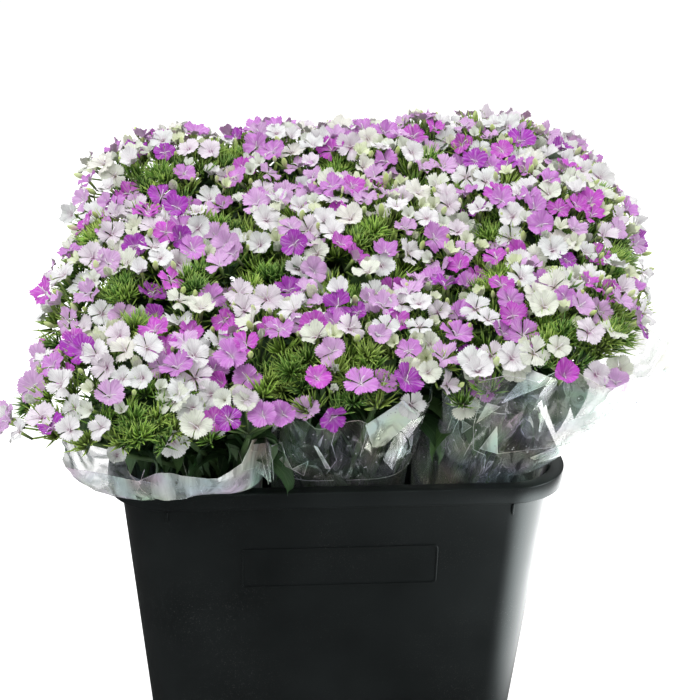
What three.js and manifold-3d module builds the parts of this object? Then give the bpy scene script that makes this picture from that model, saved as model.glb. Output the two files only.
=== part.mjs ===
// Cut dianthus in clear sleeves, standing in a black trade bucket. Millimetres, +Z up.
// The origin is the centre of the bucket's underside, and the long side of the bucket runs along X.
import * as THREE from "three";
import { mergeVertices } from "three/addons/utils/BufferGeometryUtils.js";
import Module from "manifold-3d";

const wasm = await Module();
wasm.setup();

// ---- Driving dimensions ----

const bucket = {
  height: 380,
  baseHalfX: 156.5, // half the outer width at the underside
  baseHalfY: 106.5,
  taper: 0.089, // each wall leans out this much per millimetre of height
  wall: 3,
  floor: 4,
  baseCorner: 30, // corner radius of the outer wall at the underside
  cornerGrowth: 0.036,
  footChamfer: 3,
  floorChamfer: 6, // where the wall meets the floor inside
  rimHalfX: 200,
  rimHalfY: 150,
  rimCorner: 54,
  rimBand: 15, // how far the flange's outer band hangs down
  rimThickness: 3.5,
  rimChamfer: 2,
  cornerPoints: 6,
};
const panel = { width: 172, height: 41, middle: 298, line: 1.6, corner: 4, proud: 0.8, sunk: 1 };
const lug = { width: 2.2, length: 11, proud: 1.4, sunk: 1.8, offset: 149 };
const water = { level: 100, gap: 0.6, holeRadius: 19.5, holeSides: 8 };

const grid = { columns: 3, rows: 3 }; // bunches along X and Y
const bunchNames = [
  ["front_left", "front_middle", "front_right"],
  ["middle_left", "middle", "middle_right"],
  ["back_left", "back_middle", "back_right"],
];

const canopy = {
  halfX: 278, // reach of the outermost flowers from the canopy's middle
  halfY: 213,
  middleX: 15,
  middleY: 20,
  skewX: 0.1, // the middle shifts to +X towards the back
  skewY: 0.1, // and to +Y towards the right
  boxiness: 4.6, // exponent of the superellipse that bounds it
  top: 622,
  highestY: 225, // the crown falls away forward of this Y
  frontDrop: 124,
  frontPower: 1.25,
  frontLeftDip: 20, // the front left bunch leans down by this at its corner
  sideDrop: 14,
  sidePower: 3.4,
  edgeRoll: 42, // the outermost flowers at the sides and back hang this much lower
  rollPower: 14,
  tilt: 0.028, // the right side stands higher
  frontTilt: 0.062, // and more so at the front
  swell: 7, // each bunch domes up by this and sinks as much at its edges
};

const floret = {
  count: 280,
  spacing: 30.2,
  radius: 14.6,
  reach: [0.96, 1.02], // shortest and longest petal, as shares of the radius
  notch: 0.68, // depth of the bays between petals, as a share of the radius
  bayDip: 0.4,
  cup: 2.4, // petal tips lift by up to this
  eyeDip: 1,
  neck: 2.2,
  neckDepth: 7,
  seed: 10,
};
const heads = { count: 72, spacing: 62, depth: 28, seed: 11 };
const hub = { radius: 11, ringRadius: 10.5, low: -13, sides: 6, turnsTried: 12 };
const bract = { length: 17, lowLength: 5, share: [0.8, 1.1], clearance: 3.5, room: 4 };
const stem = {
  radius: 2.7,
  sides: 3,
  foot: 4.4,
  footSpread: 12.5,
  apartAtTie: 3.8, // between one stem's middle and the next
  mouthMargin: 15, // between a stem and its cell's edge at the mouth
  mouthShare: 0.6, // how far a stem is already spread towards its head at the mouth
  fanOut: 1.4, // the canopy's cells stand this much further apart than the mouth's
};
const tie = { height: 9, level: 140, gap: 0.8, thickness: 1.6, sides: 7 };
const leaf = {
  perBunch: 3,
  length: 50,
  width: 17,
  thickness: 1.6,
  stations: [[0, 0.25], [0.35, 1], [0.7, 0.8]], // place along the blade and share of its width
  rise: 0.25,
  droop: 0.55,
};
const spreading = { rounds: 150, push: 0.3, gatherings: 12 };

// Above the rim, leaning planes part one bunch from the next: [place at the lip, lean per millimetre].
const partings = { x: [[-62, -0.1], [62, 0.28]], y: [[-45, -0.12], [45, 0.22]] };
const sleeve = {
  bottom: 168,
  bottomShare: 0.72, // size of the lower opening against its cell
  film: 0.8,
  filmRise: 0.6, // the inner face stands this much higher where the film lies out flat
  gap: 1.1,
  corner: 41,
  roundest: 0.95, // a corner's largest radius, as a share of half the sleeve's depth
  cornerPoints: 3,
  lip: 384, // level where the film clears the bucket's rim
  crumple: 6,
  seed: 31,
};
// Each sleeve's hem: its level outside and between bunches, and how far it stands out past the mouth.
const hems = {
  front_left: { level: 404, inner: 416, front: 55, side: 50 },
  front_middle: { level: 432, inner: 416, front: 28 },
  front_right: { level: 464, inner: 418, front: 25, side: 76 },
  middle_left: { level: 452, inner: 440, side: 46 },
  middle: { inner: 440 },
  middle_right: { level: 484, inner: 440, side: 74 },
  back_left: { level: 490, inner: 470, back: 62, side: 40 },
  back_middle: { level: 500, inner: 470, back: 68 },
  back_right: { level: 500, inner: 470, back: 70, side: 66 },
};

// ---- Small helpers ----

const vec = (x, y, z) => new THREE.Vector3(x, y, z);
const up = vec(0, 0, 1);

const between = ([low, high], share) => low + (high - low) * share;

// A repeatable stream of numbers from 0 to 1.
function seededRandom(seed) {
  let state = seed >>> 0;
  return () => {
    state = (state + 0x6d2b79f5) >>> 0;
    let mixed = Math.imul(state ^ (state >>> 15), state | 1);
    mixed ^= mixed + Math.imul(mixed ^ (mixed >>> 7), mixed | 61);
    return ((mixed ^ (mixed >>> 14)) >>> 0) / 4294967296;
  };
}

// A skin of triangles that grows from ring to ring.
// Rings turn anticlockwise seen from the side they grow towards.
class Skin {
  constructor() {
    this.points = [];
    this.faces = [];
  }
  ring(points) {
    return points.map((p) => this.points.push(p) - 1);
  }
  fan(ring, tip) {
    const [apex] = this.ring([tip]);
    ring.forEach((a, i) => this.faces.push([a, ring[(i + 1) % ring.length], apex]));
  }
  cap(ring) {
    for (let i = 1; i < ring.length - 1; i++) this.faces.push([ring[0], ring[i], ring[i + 1]]);
  }
  // Joins two rings of the same number of points, its quads split along either diagonal.
  tube(low, high, otherWay = false) {
    low.forEach((a, i) => {
      const j = (i + 1) % low.length;
      if (otherWay) this.faces.push([a, low[j], high[i]], [low[j], high[j], high[i]]);
      else this.faces.push([a, low[j], high[j]], [a, high[j], high[i]]);
    });
  }
  // The faces between two rings whose numbers of points differ.
  bridge(low, high) {
    const made = [];
    let [i, j] = [0, 0];
    while (i < low.length || j < high.length) {
      const [a, b] = [low[i % low.length], high[j % high.length]];
      const lowNext = (i + 0.5) / low.length <= (j + 0.5) / high.length;
      if (i < low.length && (lowNext || j === high.length)) made.push([a, low[++i % low.length], b]);
      else made.push([a, high[++j % high.length], b]);
    }
    return made;
  }
  geometry() {
    const g = new THREE.BufferGeometry().setFromPoints(this.points);
    g.setIndex(this.faces.flat());
    return g;
  }
}

function solidOf(geometry) {
  const bare = geometry.clone();
  bare.deleteAttribute("normal");
  bare.deleteAttribute("uv");
  const merged = mergeVertices(bare, 1e-4);
  return new wasm.Manifold(
    new wasm.Mesh({
      numProp: 3,
      vertProperties: merged.attributes.position.array,
      triVerts: new Uint32Array(merged.index.array),
    }),
  );
}

function geometryOf(solid) {
  const { vertProperties, triVerts, numProp } = solid.getMesh();
  const position = new Float32Array((vertProperties.length / numProp) * 3);
  for (let i = 0; i * 3 < position.length; i++)
    position.set(vertProperties.subarray(i * numProp, i * numProp + 3), i * 3);
  return new THREE.BufferGeometry()
    .setAttribute("position", new THREE.BufferAttribute(position, 3))
    .setIndex(new THREE.BufferAttribute(triVerts, 1));
}

function finish(color, roughness, extra = {}) {
  return new THREE.MeshStandardMaterial({ color, roughness, metalness: 0, flatShading: true, ...extra });
}

function named(name, geometry, material) {
  const mesh = new THREE.Mesh(geometry, material);
  mesh.name = name;
  return mesh;
}

// A rectangle with round corners, anticlockwise seen from above.
function roundRing([x0, x1], [y0, y1], radius, z, cornerPoints) {
  const corners = [[x1, y1, 0], [x0, y1, 1], [x0, y0, 2], [x1, y0, 3]];
  return corners.flatMap(([x, y, quarter]) => {
    const centre = vec(x + (x === x1 ? -radius : radius), y + (y === y1 ? -radius : radius), z);
    return Array.from({ length: cornerPoints }, (_, i) => {
      const turn = (quarter + i / (cornerPoints - 1)) * (Math.PI / 2);
      return centre.clone().add(vec(radius * Math.cos(turn), radius * Math.sin(turn), 0));
    });
  });
}

// ---- The bucket and its water ----

const wallHalfX = (z) => bucket.baseHalfX + bucket.taper * z;
const wallHalfY = (z) => bucket.baseHalfY + bucket.taper * z;

// The outer wall's outline at a level, drawn in by an inset.
function wallRing(z, inset = 0) {
  const [x, y] = [wallHalfX(z) - inset, wallHalfY(z) - inset];
  const radius = bucket.baseCorner + bucket.cornerGrowth * z - inset;
  return roundRing([-x, x], [-y, y], radius, z, bucket.cornerPoints);
}

function rimRing(z, inset = 0) {
  const [x, y] = [bucket.rimHalfX - inset, bucket.rimHalfY - inset];
  return roundRing([-x, x], [-y, y], bucket.rimCorner - inset, z, bucket.cornerPoints);
}

function bucketShell() {
  const { height, rimThickness, rimBand, rimChamfer, wall, floor, footChamfer, floorChamfer } = bucket;
  const skin = new Skin();
  const rings = [
    wallRing(0, footChamfer),
    wallRing(footChamfer),
    wallRing(height - rimThickness),
    rimRing(height - rimThickness, wall),
    rimRing(height - rimBand, wall),
    rimRing(height - rimBand),
    rimRing(height - rimChamfer),
    rimRing(height, rimChamfer),
    wallRing(height, wall - rimChamfer / 2),
    wallRing(height - rimChamfer, wall),
    wallRing(floor + floorChamfer, wall),
    wallRing(floor, wall + floorChamfer),
  ].map((points) => skin.ring(points));
  skin.cap([...rings[0]].reverse());
  rings.slice(1).forEach((ring, i) => skin.tube(rings[i], ring));
  skin.cap(rings.at(-1));
  return skin.geometry();
}

// A flat shape set on the middle of the front wall at a level, standing proud of it.
function onWall(shape, { proud, sunk }, level) {
  const g = new THREE.ExtrudeGeometry(shape, {
    depth: proud + sunk,
    bevelEnabled: false,
    curveSegments: 2,
  });
  g.translate(0, 0, -sunk);
  g.rotateX(Math.PI / 2 + Math.atan(bucket.taper));
  return g.translate(0, -wallHalfY(level), level);
}

function roundedShape(halfX, halfY, radius, target = new THREE.Shape()) {
  const corners = [[1, 1, 0], [-1, 1, 1], [-1, -1, 2], [1, -1, 3]];
  corners.forEach(([sx, sy, quarter]) => {
    const [x, y] = [sx * (halfX - radius), sy * (halfY - radius)];
    target.absarc(x, y, radius, (quarter * Math.PI) / 2, ((quarter + 1) * Math.PI) / 2, false);
  });
  return target;
}

// The raised outline of the label panel.
function panelOutline() {
  const { line, corner, middle } = panel;
  const [x, y] = [panel.width / 2, panel.height / 2];
  const shape = roundedShape(x, y, corner);
  shape.holes.push(roundedShape(x - line, y - line, corner - line, new THREE.Path()));
  return onWall(shape, panel, middle);
}

function stackingLug(side) {
  const [half, tall] = [lug.width / 2, lug.length / 2];
  const corners = [[-half, -tall], [half, -tall], [half, tall], [-half, tall]];
  const shape = new THREE.Shape(corners.map(([x, y]) => new THREE.Vector2(side * lug.offset + x, y)));
  return onWall(shape, lug, bucket.height - bucket.rimBand - lug.length);
}

function bucketGeometry() {
  const front = [panelOutline(), stackingLug(-1), stackingLug(1)];
  const back = front.map((g) => g.clone().rotateZ(Math.PI));
  return geometryOf(wasm.Manifold.union([bucketShell(), ...front, ...back].map(solidOf)));
}

function waterGeometry() {
  const skin = new Skin();
  const [low, high] = [bucket.floor + water.gap, water.level];
  const side = bucket.wall + water.gap;
  const chamfer = bucket.floorChamfer;
  const rings = [wallRing(low, side + chamfer), wallRing(low + chamfer, side), wallRing(high, side)];
  const [floor, foot, surface] = rings.map((points) => skin.ring(points));
  skin.cap([...floor].reverse());
  skin.tube(floor, foot);
  skin.tube(foot, surface);
  skin.cap(surface);
  const { holeRadius, holeSides } = water;
  const hole = new THREE.CylinderGeometry(holeRadius, holeRadius, 3 * high, holeSides).rotateX(Math.PI / 2);
  const holes = bunches.map(({ column, row }) => {
    const { x, y } = cellMiddle(column, row, low);
    return solidOf(hole.clone().translate(x, y, 0));
  });
  return geometryOf(solidOf(skin.geometry()).subtract(wasm.Manifold.union(holes)));
}

// ---- Where the bunches stand ----

const mouthHalf = [wallHalfX(bucket.height) - bucket.wall, wallHalfY(bucket.height) - bucket.wall];

// Inside the bucket the bunches share its room in equal cells.
function cellMiddle(column, row, z) {
  const [halfX, halfY] = [wallHalfX(z) - bucket.wall, wallHalfY(z) - bucket.wall];
  return vec((column * 2 * halfX) / grid.columns, (row * 2 * halfY) / grid.rows, z);
}

// Above the rim they are parted by leaning planes.
const parting = ([offset, rise], z) => offset + rise * (z - sleeve.lip);
const cellIndex = (pair, across, z) => pair.filter((plane) => across > parting(plane, z)).length - 1;

const bunches = [-1, 0, 1].flatMap((row) =>
  [-1, 0, 1].map((column) => ({ column, row, name: bunchNames[row + 1][column + 1] })),
);

// ---- The crown of flowers, as a surface over u and v from -1 to 1 ----

function crownPoint(u, v) {
  const [alongX, alongY] = [canopy.halfX * u, canopy.halfY * v];
  const x = canopy.middleX + alongX + canopy.skewX * alongY;
  const y = canopy.middleY + alongY + canopy.skewY * alongX;
  const forward = Math.max(0, (canopy.highestY - y) / (2 * canopy.halfY));
  const wave = Math.cos(Math.PI * grid.columns * u) + Math.cos(Math.PI * grid.rows * v);
  const z =
    canopy.top -
    canopy.frontDrop * forward ** canopy.frontPower -
    canopy.sideDrop * Math.abs(u) ** canopy.sidePower -
    canopy.edgeRoll * (Math.abs(u) ** canopy.rollPower + Math.max(0, v) ** canopy.rollPower) -
    canopy.frontLeftDip * Math.max(0, -u) * forward ** 3 +
    (canopy.tilt + canopy.frontTilt * forward) * x +
    (canopy.swell * wave) / 2;
  return vec(x, y, z);
}

// 0 in the middle of the crown and 1 at its edge.
function edgeShare(u, v) {
  return (Math.abs(u) ** canopy.boxiness + Math.abs(v) ** canopy.boxiness) ** (1 / canopy.boxiness);
}

function crownNormal(u, v) {
  const step = 0.01;
  const alongX = crownPoint(u + step, v).sub(crownPoint(u - step, v));
  const alongY = crownPoint(u, v + step).sub(crownPoint(u, v - step));
  return alongX.cross(alongY).normalize();
}

// Points spread over the crown at random, then pushed apart until they stand about a spacing apart.
function spreadOverCrown({ count, spacing, seed }) {
  const random = seededRandom(seed);
  const places = [];
  while (places.length < count) {
    const [u, v] = [2 * random() - 1, 2 * random() - 1];
    if (edgeShare(u, v) < 1) places.push([u, v]);
  }
  for (let round = 0; round < spreading.rounds; round++) {
    const points = places.map(([u, v]) => crownPoint(u, v));
    const shifts = places.map(() => [0, 0]);
    points.forEach((p, i) => {
      for (let j = i + 1; j < count; j++) {
        const away = p.clone().sub(points[j]);
        const push = (spreading.push * (spacing - away.length())) / Math.max(away.length(), 1);
        if (push <= 0) continue;
        shifts[i] = [shifts[i][0] + push * away.x, shifts[i][1] + push * away.y];
        shifts[j] = [shifts[j][0] - push * away.x, shifts[j][1] - push * away.y];
      }
    });
    places.forEach((place, i) => {
      const u = place[0] + shifts[i][0] / canopy.halfX;
      const v = place[1] + shifts[i][1] / canopy.halfY;
      const back = Math.max(1, edgeShare(u, v));
      places[i] = [u / back, v / back];
    });
  }
  return places;
}

const nearest = (list, distance) => list.reduce((a, b) => (distance(b) < distance(a) ? b : a));
const placesApart = (a, b) => Math.hypot((a[0] - b[0]) * canopy.halfX, (a[1] - b[1]) * canopy.halfY);

// The flowers part into heads, each in the middle of the flowers that are nearest to it.
function gatherHeads(flowers) {
  let middles = spreadOverCrown(heads);
  const groups = () => {
    const found = new Map(middles.map((middle) => [middle, []]));
    flowers.forEach((flower) => {
      const own = nearest(middles, (middle) => placesApart(middle, flower));
      found.get(own).push(flower);
    });
    return [...found];
  };
  const mean = (group, axis) => group.reduce((sum, place) => sum + place[axis], 0) / group.length;
  for (let round = 0; round < spreading.gatherings; round++)
    middles = groups().map(([, group]) => [mean(group, 0), mean(group, 1)]);
  return groups();
}

const headPlaces = gatherHeads(spreadOverCrown(floret)).map(([[u, v], flowers]) => {
  const normal = crownNormal(u, v);
  const centre = crownPoint(u, v).addScaledVector(normal, -heads.depth);
  const column = cellIndex(partings.x, centre.x, centre.z);
  const row = cellIndex(partings.y, centre.y, centre.z);
  const own = flowers.map(([a, b]) => ({ centre: crownPoint(a, b), normal: crownNormal(a, b) }));
  return { normal, centre, column, row, flowers: own };
});
const florets = headPlaces.flatMap((head) => head.flowers);

// ---- Heads: a hub on each stem, its faces drawn out into bracts or into stalked flowers ----

const sumOf = (points) => points.reduce((sum, p) => sum.add(p), vec(0, 0, 0));
const middleOf = (points) => sumOf(points).divideScalar(points.length);

const acrossOf = (along) => {
  const side = vec(1, 0, 0).addScaledVector(along, -along.x).normalize();
  return [side, along.clone().cross(side)];
};

function circle(centre, along, radius, sides, turn = 0) {
  const [right, ahead] = acrossOf(along);
  return Array.from({ length: sides }, (_, i) => {
    const angle = turn + (2 * Math.PI * i) / sides;
    const [c, s] = [radius * Math.cos(angle), radius * Math.sin(angle)];
    return centre.clone().addScaledVector(right, c).addScaledVector(ahead, s);
  });
}

// A five-petalled flower on a stalk that grows out of one triangle of the hub.
function growFloret(skin, face, { centre, normal }, random) {
  const [right, ahead] = acrossOf(normal);
  const root = middleOf(face.map((i) => skin.points[i]));
  const arm = skin.points[face[0]].clone().sub(root);
  const start = Math.atan2(arm.dot(ahead), arm.dot(right));
  const neckCentre = centre.clone().addScaledVector(normal, -floret.neckDepth);
  const neck = skin.ring(circle(neckCentre, normal, floret.neck, 3, start));
  const outline = circle(centre, normal, floret.radius, 10, start).map((p, i) => {
    const isTip = i % 2 === 0;
    const reach = isTip ? between(floret.reach, random()) : floret.notch;
    const lift = isTip ? floret.cup * random() : -floret.bayDip;
    return centre.clone().lerp(p, reach).addScaledVector(normal, lift);
  });
  const edge = skin.ring(outline);
  skin.tube(face, neck);
  skin.faces.push(...skin.bridge(neck, edge));
  skin.fan(edge, centre.clone().addScaledVector(normal, -floret.eyeDip));
}

// How far a bract may reach: short of the flowers above it, and halfway to the next head at most.
function bractReach(head, way, wanted) {
  const leastSlope = 0.1;
  const underFlowers = florets.map(({ centre, normal }) => {
    const slope = way.dot(normal);
    const travel = centre.clone().sub(head.centre).dot(normal) / slope;
    const miss = head.centre.clone().addScaledVector(way, travel).distanceTo(centre);
    const isAbove = slope > leastSlope && travel > 0 && miss < floret.radius + bract.room;
    return isAbove ? travel - bract.clearance : wanted;
  });
  const betweenHeads = headPlaces.map(({ centre }) => {
    const apart = centre.clone().sub(head.centre);
    const slope = way.dot(apart) / apart.length();
    return slope > leastSlope ? (apart.length() / 2 - 1) / slope : wanted;
  });
  return Math.min(wanted, ...underFlowers, ...betweenHeads);
}

const hubRing = ({ centre, normal }, turn) => circle(centre, normal, hub.ringRadius, hub.sides, turn);
const hubTop = ({ centre, normal }) => centre.clone().addScaledVector(normal, hub.radius);

// The turn of the hub that sets its upper faces best under its flowers, and the face each flower takes.
function bestTurn(head, own) {
  const ways = own.map((flower) => flower.centre.clone().sub(head.centre).normalize());
  const steepness = (k) => ways[k].dot(head.normal);
  const order = ways.map((_, k) => k).sort((a, b) => steepness(a) - steepness(b));
  const tries = Array.from({ length: hub.turnsTried }, (_, i) => {
    const turn = (i * 2 * Math.PI) / (hub.turnsTried * hub.sides);
    const ring = hubRing(head, turn);
    const faces = ring.map((p, k) => {
      const corners = [p, ring[(k + 1) % hub.sides], hubTop(head)];
      return middleOf(corners).sub(head.centre).normalize();
    });
    const taken = new Map();
    const fits = order.map((k) => {
      const free = faces.map((_, f) => f).filter((f) => !taken.has(f));
      const face = nearest(free, (f) => -faces[f].dot(ways[k]));
      taken.set(face, own[k]);
      return faces[face].dot(ways[k]);
    });
    return { turn, taken, fit: Math.min(...fits) };
  });
  return nearest(tries, (t) => -t.fit);
}

// The stems of a bunch stand in a ring where they are tied, each partly pressed into the next.
const tiedRadius = (count) => stem.apartAtTie / (2 * Math.sin(Math.PI / count));

// A stem's way from the foot through the tie and the mouth of the bucket to its head.
function stemRoute({ column, row, centre, normal }, turn, count) {
  const [foot, bound, mouth] = [stem.foot, tie.level, sleeve.lip].map((z) => cellMiddle(column, row, z));
  const out = vec(Math.cos(turn), Math.sin(turn), 0);
  const [roomX, roomY] = [mouthHalf[0] / grid.columns, mouthHalf[1] / grid.rows];
  const share = (across, middle, room) =>
    THREE.MathUtils.clamp((stem.mouthShare * (across - stem.fanOut * middle)) / room, -1, 1);
  const lean = vec(share(centre.x, mouth.x, roomX), share(centre.y, mouth.y, roomY), 0).clampLength(0, 1);
  mouth.x += lean.x * (roomX - stem.mouthMargin);
  mouth.y += lean.y * (roomY - stem.mouthMargin);
  return [
    foot.addScaledVector(out, stem.footSpread),
    bound.addScaledVector(out, tiedRadius(count)),
    mouth,
    centre.clone().addScaledVector(normal, hub.low),
  ];
}

function flowerStem(head, turnAtTie, count, random) {
  const skin = new Skin();
  const route = stemRoute(head, turnAtTie, count);
  const ways = [up, ...[1, 2].map((i) => route[i + 1].clone().sub(route[i - 1]).normalize()), head.normal];
  const rings = route.map((point, i) => skin.ring(circle(point, ways[i], stem.radius, stem.sides)));
  skin.cap([...rings[0]].reverse());
  rings.slice(1).forEach((ring, i) => skin.tube(rings[i], ring));

  const { turn, taken } = bestTurn(head, head.flowers);
  const ring = skin.ring(hubRing(head, turn));
  const [top] = skin.ring([hubTop(head)]);
  const growBract = (face, length) => {
    const way = middleOf(face.map((n) => skin.points[n])).sub(head.centre).normalize();
    const reach = bractReach(head, way, hub.radius + length * between(bract.share, random()));
    skin.fan(face, head.centre.clone().addScaledVector(way, Math.max(reach, hub.radius - 1)));
  };
  skin.bridge(rings.at(-1), ring).forEach((face) => growBract(face, bract.lowLength));
  ring.forEach((corner, i) => {
    const face = [corner, ring[(i + 1) % hub.sides], top];
    if (taken.has(i)) growFloret(skin, face, taken.get(i), random);
    else growBract(face, bract.length);
  });
  return solidOf(skin.geometry());
}

// ---- Leaves: arched blades with a raised midrib, rooted in the outermost heads ----

function leafBlade(root, along) {
  const skin = new Skin();
  const side = up.clone().cross(along).normalize();
  const spine = (t) =>
    root
      .clone()
      .addScaledVector(along, leaf.length * t)
      .addScaledVector(up, leaf.length * (leaf.rise * t - leaf.droop * t * t));
  const rings = leaf.stations.map(([t, share]) => {
    const half = (leaf.width / 2) * share;
    const thick = leaf.thickness / 2;
    const p = spine(t);
    return skin.ring([
      p.clone().addScaledVector(side, half),
      p.clone().addScaledVector(up, thick),
      p.clone().addScaledVector(side, -half),
      p.clone().addScaledVector(up, -thick),
    ]);
  });
  skin.cap([...rings[0]].reverse());
  rings.slice(1).forEach((ring, i) => skin.tube(rings[i], ring));
  skin.fan(rings.at(-1), spine(1));
  return solidOf(skin.geometry());
}

// ---- One bunch: its stems pressed together at the tie, fused with their heads and leaves ----

const headsOf = ({ column, row }) => headPlaces.filter((h) => h.column === column && h.row === row);

function bunchGeometry(bunch, index) {
  const random = seededRandom(heads.seed + index);
  const own = headsOf(bunch);
  const middle = middleOf(own.map((h) => h.centre));
  const angle = ({ centre }) => Math.atan2(centre.y - middle.y, centre.x - middle.x);
  own.sort((a, b) => angle(a) - angle(b));
  const step = (2 * Math.PI) / own.length;
  const start = own.reduce((sum, head, i) => sum + angle(head) - i * step, 0) / own.length;
  const stems = own.map((head, i) => flowerStem(head, start + i * step, own.length, random));
  const outward = vec(bunch.column, bunch.row, 0);
  const byReach = own.map((h) => h.centre).sort((a, b) => b.dot(outward) - a.dot(outward));
  const roots = outward.length() ? byReach.slice(0, leaf.perBunch) : [];
  const wayOut = (root) => root.clone().sub(middle).setZ(0).normalize().add(outward).normalize();
  const blades = roots.map((root) => leafBlade(root, wayOut(root)));
  return geometryOf(wasm.Manifold.union([...stems, ...blades]));
}

// ---- Sleeves and ties ----

// Below the lip a sleeve fills its share of the bucket, and it narrows downwards.
function sleeveRing({ column, row }, z, inset) {
  const { bottom, bottomShare, lip, corner, roundest, cornerPoints } = sleeve;
  const share = between([1, bottomShare], (lip - z) / (lip - bottom));
  const { x, y } = cellMiddle(column, row, z);
  const fullX = (share * (wallHalfX(z) - bucket.wall)) / grid.columns;
  const fullY = (share * (wallHalfY(z) - bucket.wall)) / grid.rows;
  const [halfX, halfY] = [fullX - inset, fullY - inset];
  const radius = Math.min(corner, roundest * fullY) - inset;
  return roundRing([x - halfX, x + halfX], [y - halfY, y + halfY], radius, z, cornerPoints);
}

// The hem keeps to the parting planes between bunches, and stands out where no bunch is beside it.
function hemRing({ column, row, name }, lifts, inset) {
  const { level, inner, side: outX, front, back } = hems[name];
  const outY = front ?? back;
  const edge = (pair, cell, side, mouth, out, z) =>
    cell === side ? side * (mouth + out) : parting(pair[cell + (side + 1) / 2], z);
  const sideX = (side, z) => edge(partings.x, column, side, mouthHalf[0], outX, z);
  const sideY = (side, z) => edge(partings.y, row, side, mouthHalf[1], outY, z);
  const radius = sleeve.corner - inset;
  const corners = [[1, 1], [-1, 1], [-1, -1], [1, -1]];
  return corners.flatMap(([sx, sy], corner) => {
    const cornerLevel = sx === column || sy === row ? level : inner;
    return Array.from({ length: sleeve.cornerPoints }, (_, i) => {
      const turn = ((corner + i / (sleeve.cornerPoints - 1)) * Math.PI) / 2;
      const z = cornerLevel + lifts[corner * sleeve.cornerPoints + i];
      return vec(
        sideX(sx, z) - sx * (inset + radius) + radius * Math.cos(turn),
        sideY(sy, z) - sy * (inset + radius) + radius * Math.sin(turn),
        z,
      );
    });
  });
}

function sleeveGeometry(bunch, index) {
  const random = seededRandom(sleeve.seed + index);
  const { bottom, lip, gap, film, filmRise, crumple, cornerPoints } = sleeve;
  const lifts = Array.from({ length: 4 * cornerPoints }, () => crumple * (2 * random() - 1));
  const wallRings = (inset, rise) => [
    sleeveRing(bunch, bottom, inset),
    sleeveRing(bunch, lip + rise, inset),
    hemRing(bunch, lifts.map((lift) => lift + rise), inset),
  ];
  const skin = new Skin();
  const [outer, inner] = [wallRings(gap, 0), wallRings(gap + film, filmRise).reverse()];
  const rings = [...outer, ...inner].map((points) => skin.ring(points));
  // Inside and outside are split along the same diagonals, so that the film keeps its thickness.
  rings.forEach((ring, i) => skin.tube(ring, rings[(i + 1) % rings.length], i >= outer.length));
  return skin.geometry();
}

function tieGeometry(bunch) {
  const half = tie.height / 2;
  const bundle = tiedRadius(headsOf(bunch).length) + stem.radius;
  const inner = (bundle + tie.gap) / Math.cos(Math.PI / tie.sides);
  const outer = inner + tie.thickness;
  const profile = [[inner, -half], [outer, -half], [outer, half], [inner, half], [inner, -half]];
  const ring = new THREE.LatheGeometry(profile.map(([r, z]) => new THREE.Vector2(r, z)), tie.sides);
  const { x, y, z } = cellMiddle(bunch.column, bunch.row, tie.level);
  return ring.rotateX(Math.PI / 2).translate(x, y, z);
}

// ---- The whole ----

const black = finish(0x15181b, 0.5);
const clearWater = finish(0xa9c4c8, 0.1, { transparent: true, opacity: 0.5 });
const film = finish(0xe6eef0, 0.12, { transparent: true, opacity: 0.3 });
const elastic = finish(0xb08a5a, 0.7);
const plant = finish(0xc58fd6, 0.6);

const part = new THREE.Group();
part.add(named("bucket", bucketGeometry(), black));
part.add(named("water", waterGeometry(), clearWater));
bunches.forEach((bunch, index) => {
  part.add(named(`bunch_${bunch.name}`, bunchGeometry(bunch, index), plant));
  part.add(named(`sleeve_${bunch.name}`, sleeveGeometry(bunch, index), film));
  part.add(named(`tie_${bunch.name}`, tieGeometry(bunch), elastic));
});

export default part;
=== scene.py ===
import math
import random

import bmesh
import bpy
import numpy as np
from mathutils import Matrix, Vector, noise


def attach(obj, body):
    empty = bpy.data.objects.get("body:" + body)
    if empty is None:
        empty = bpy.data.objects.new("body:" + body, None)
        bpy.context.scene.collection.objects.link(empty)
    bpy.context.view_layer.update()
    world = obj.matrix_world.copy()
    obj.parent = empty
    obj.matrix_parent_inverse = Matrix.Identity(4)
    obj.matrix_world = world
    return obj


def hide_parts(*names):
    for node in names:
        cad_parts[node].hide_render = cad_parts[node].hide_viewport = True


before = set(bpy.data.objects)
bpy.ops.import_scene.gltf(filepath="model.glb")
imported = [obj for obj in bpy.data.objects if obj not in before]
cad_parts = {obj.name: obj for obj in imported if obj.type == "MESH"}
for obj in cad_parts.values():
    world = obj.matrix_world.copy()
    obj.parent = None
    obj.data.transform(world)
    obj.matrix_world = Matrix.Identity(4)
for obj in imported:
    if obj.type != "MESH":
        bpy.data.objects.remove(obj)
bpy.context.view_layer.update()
bunchNames = sorted(name[len("bunch_"):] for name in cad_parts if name.startswith("bunch_"))
print("frame loaded,", len(bunchNames), "bunches")


# small tools

def pick(*objects):
    if bpy.context.object and bpy.context.object.mode != "OBJECT":
        bpy.ops.object.mode_set(mode="OBJECT")
    bpy.ops.object.select_all(action="DESELECT")
    for each in objects:
        each.select_set(True)
    bpy.context.view_layer.objects.active = objects[0]


def editMesh(obj, action="SELECT"):  # with all of it selected, or with action="DESELECT" none
    pick(obj)
    bpy.ops.object.mode_set(mode="EDIT")
    bpy.ops.mesh.select_all(action=action)
    return bmesh.from_edit_mesh(obj.data)


def leaveEdit(obj):
    bmesh.update_edit_mesh(obj.data)
    bpy.ops.object.mode_set(mode="OBJECT")


def placeFlat(obj):  # the place goes into the mesh, and the object stays at the origin
    pick(obj)
    bpy.ops.object.transform_apply(location=True, rotation=True, scale=True)


def joined(objects):
    pick(*objects)
    bpy.ops.object.join()
    return objects[0]


def modified(obj, kind, **settings):
    pick(obj)
    modifier = obj.modifiers.new(kind.lower(), kind)
    for key, value in settings.items():
        setattr(modifier, key, value)
    bpy.ops.object.modifier_apply(modifier=modifier.name)


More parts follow.
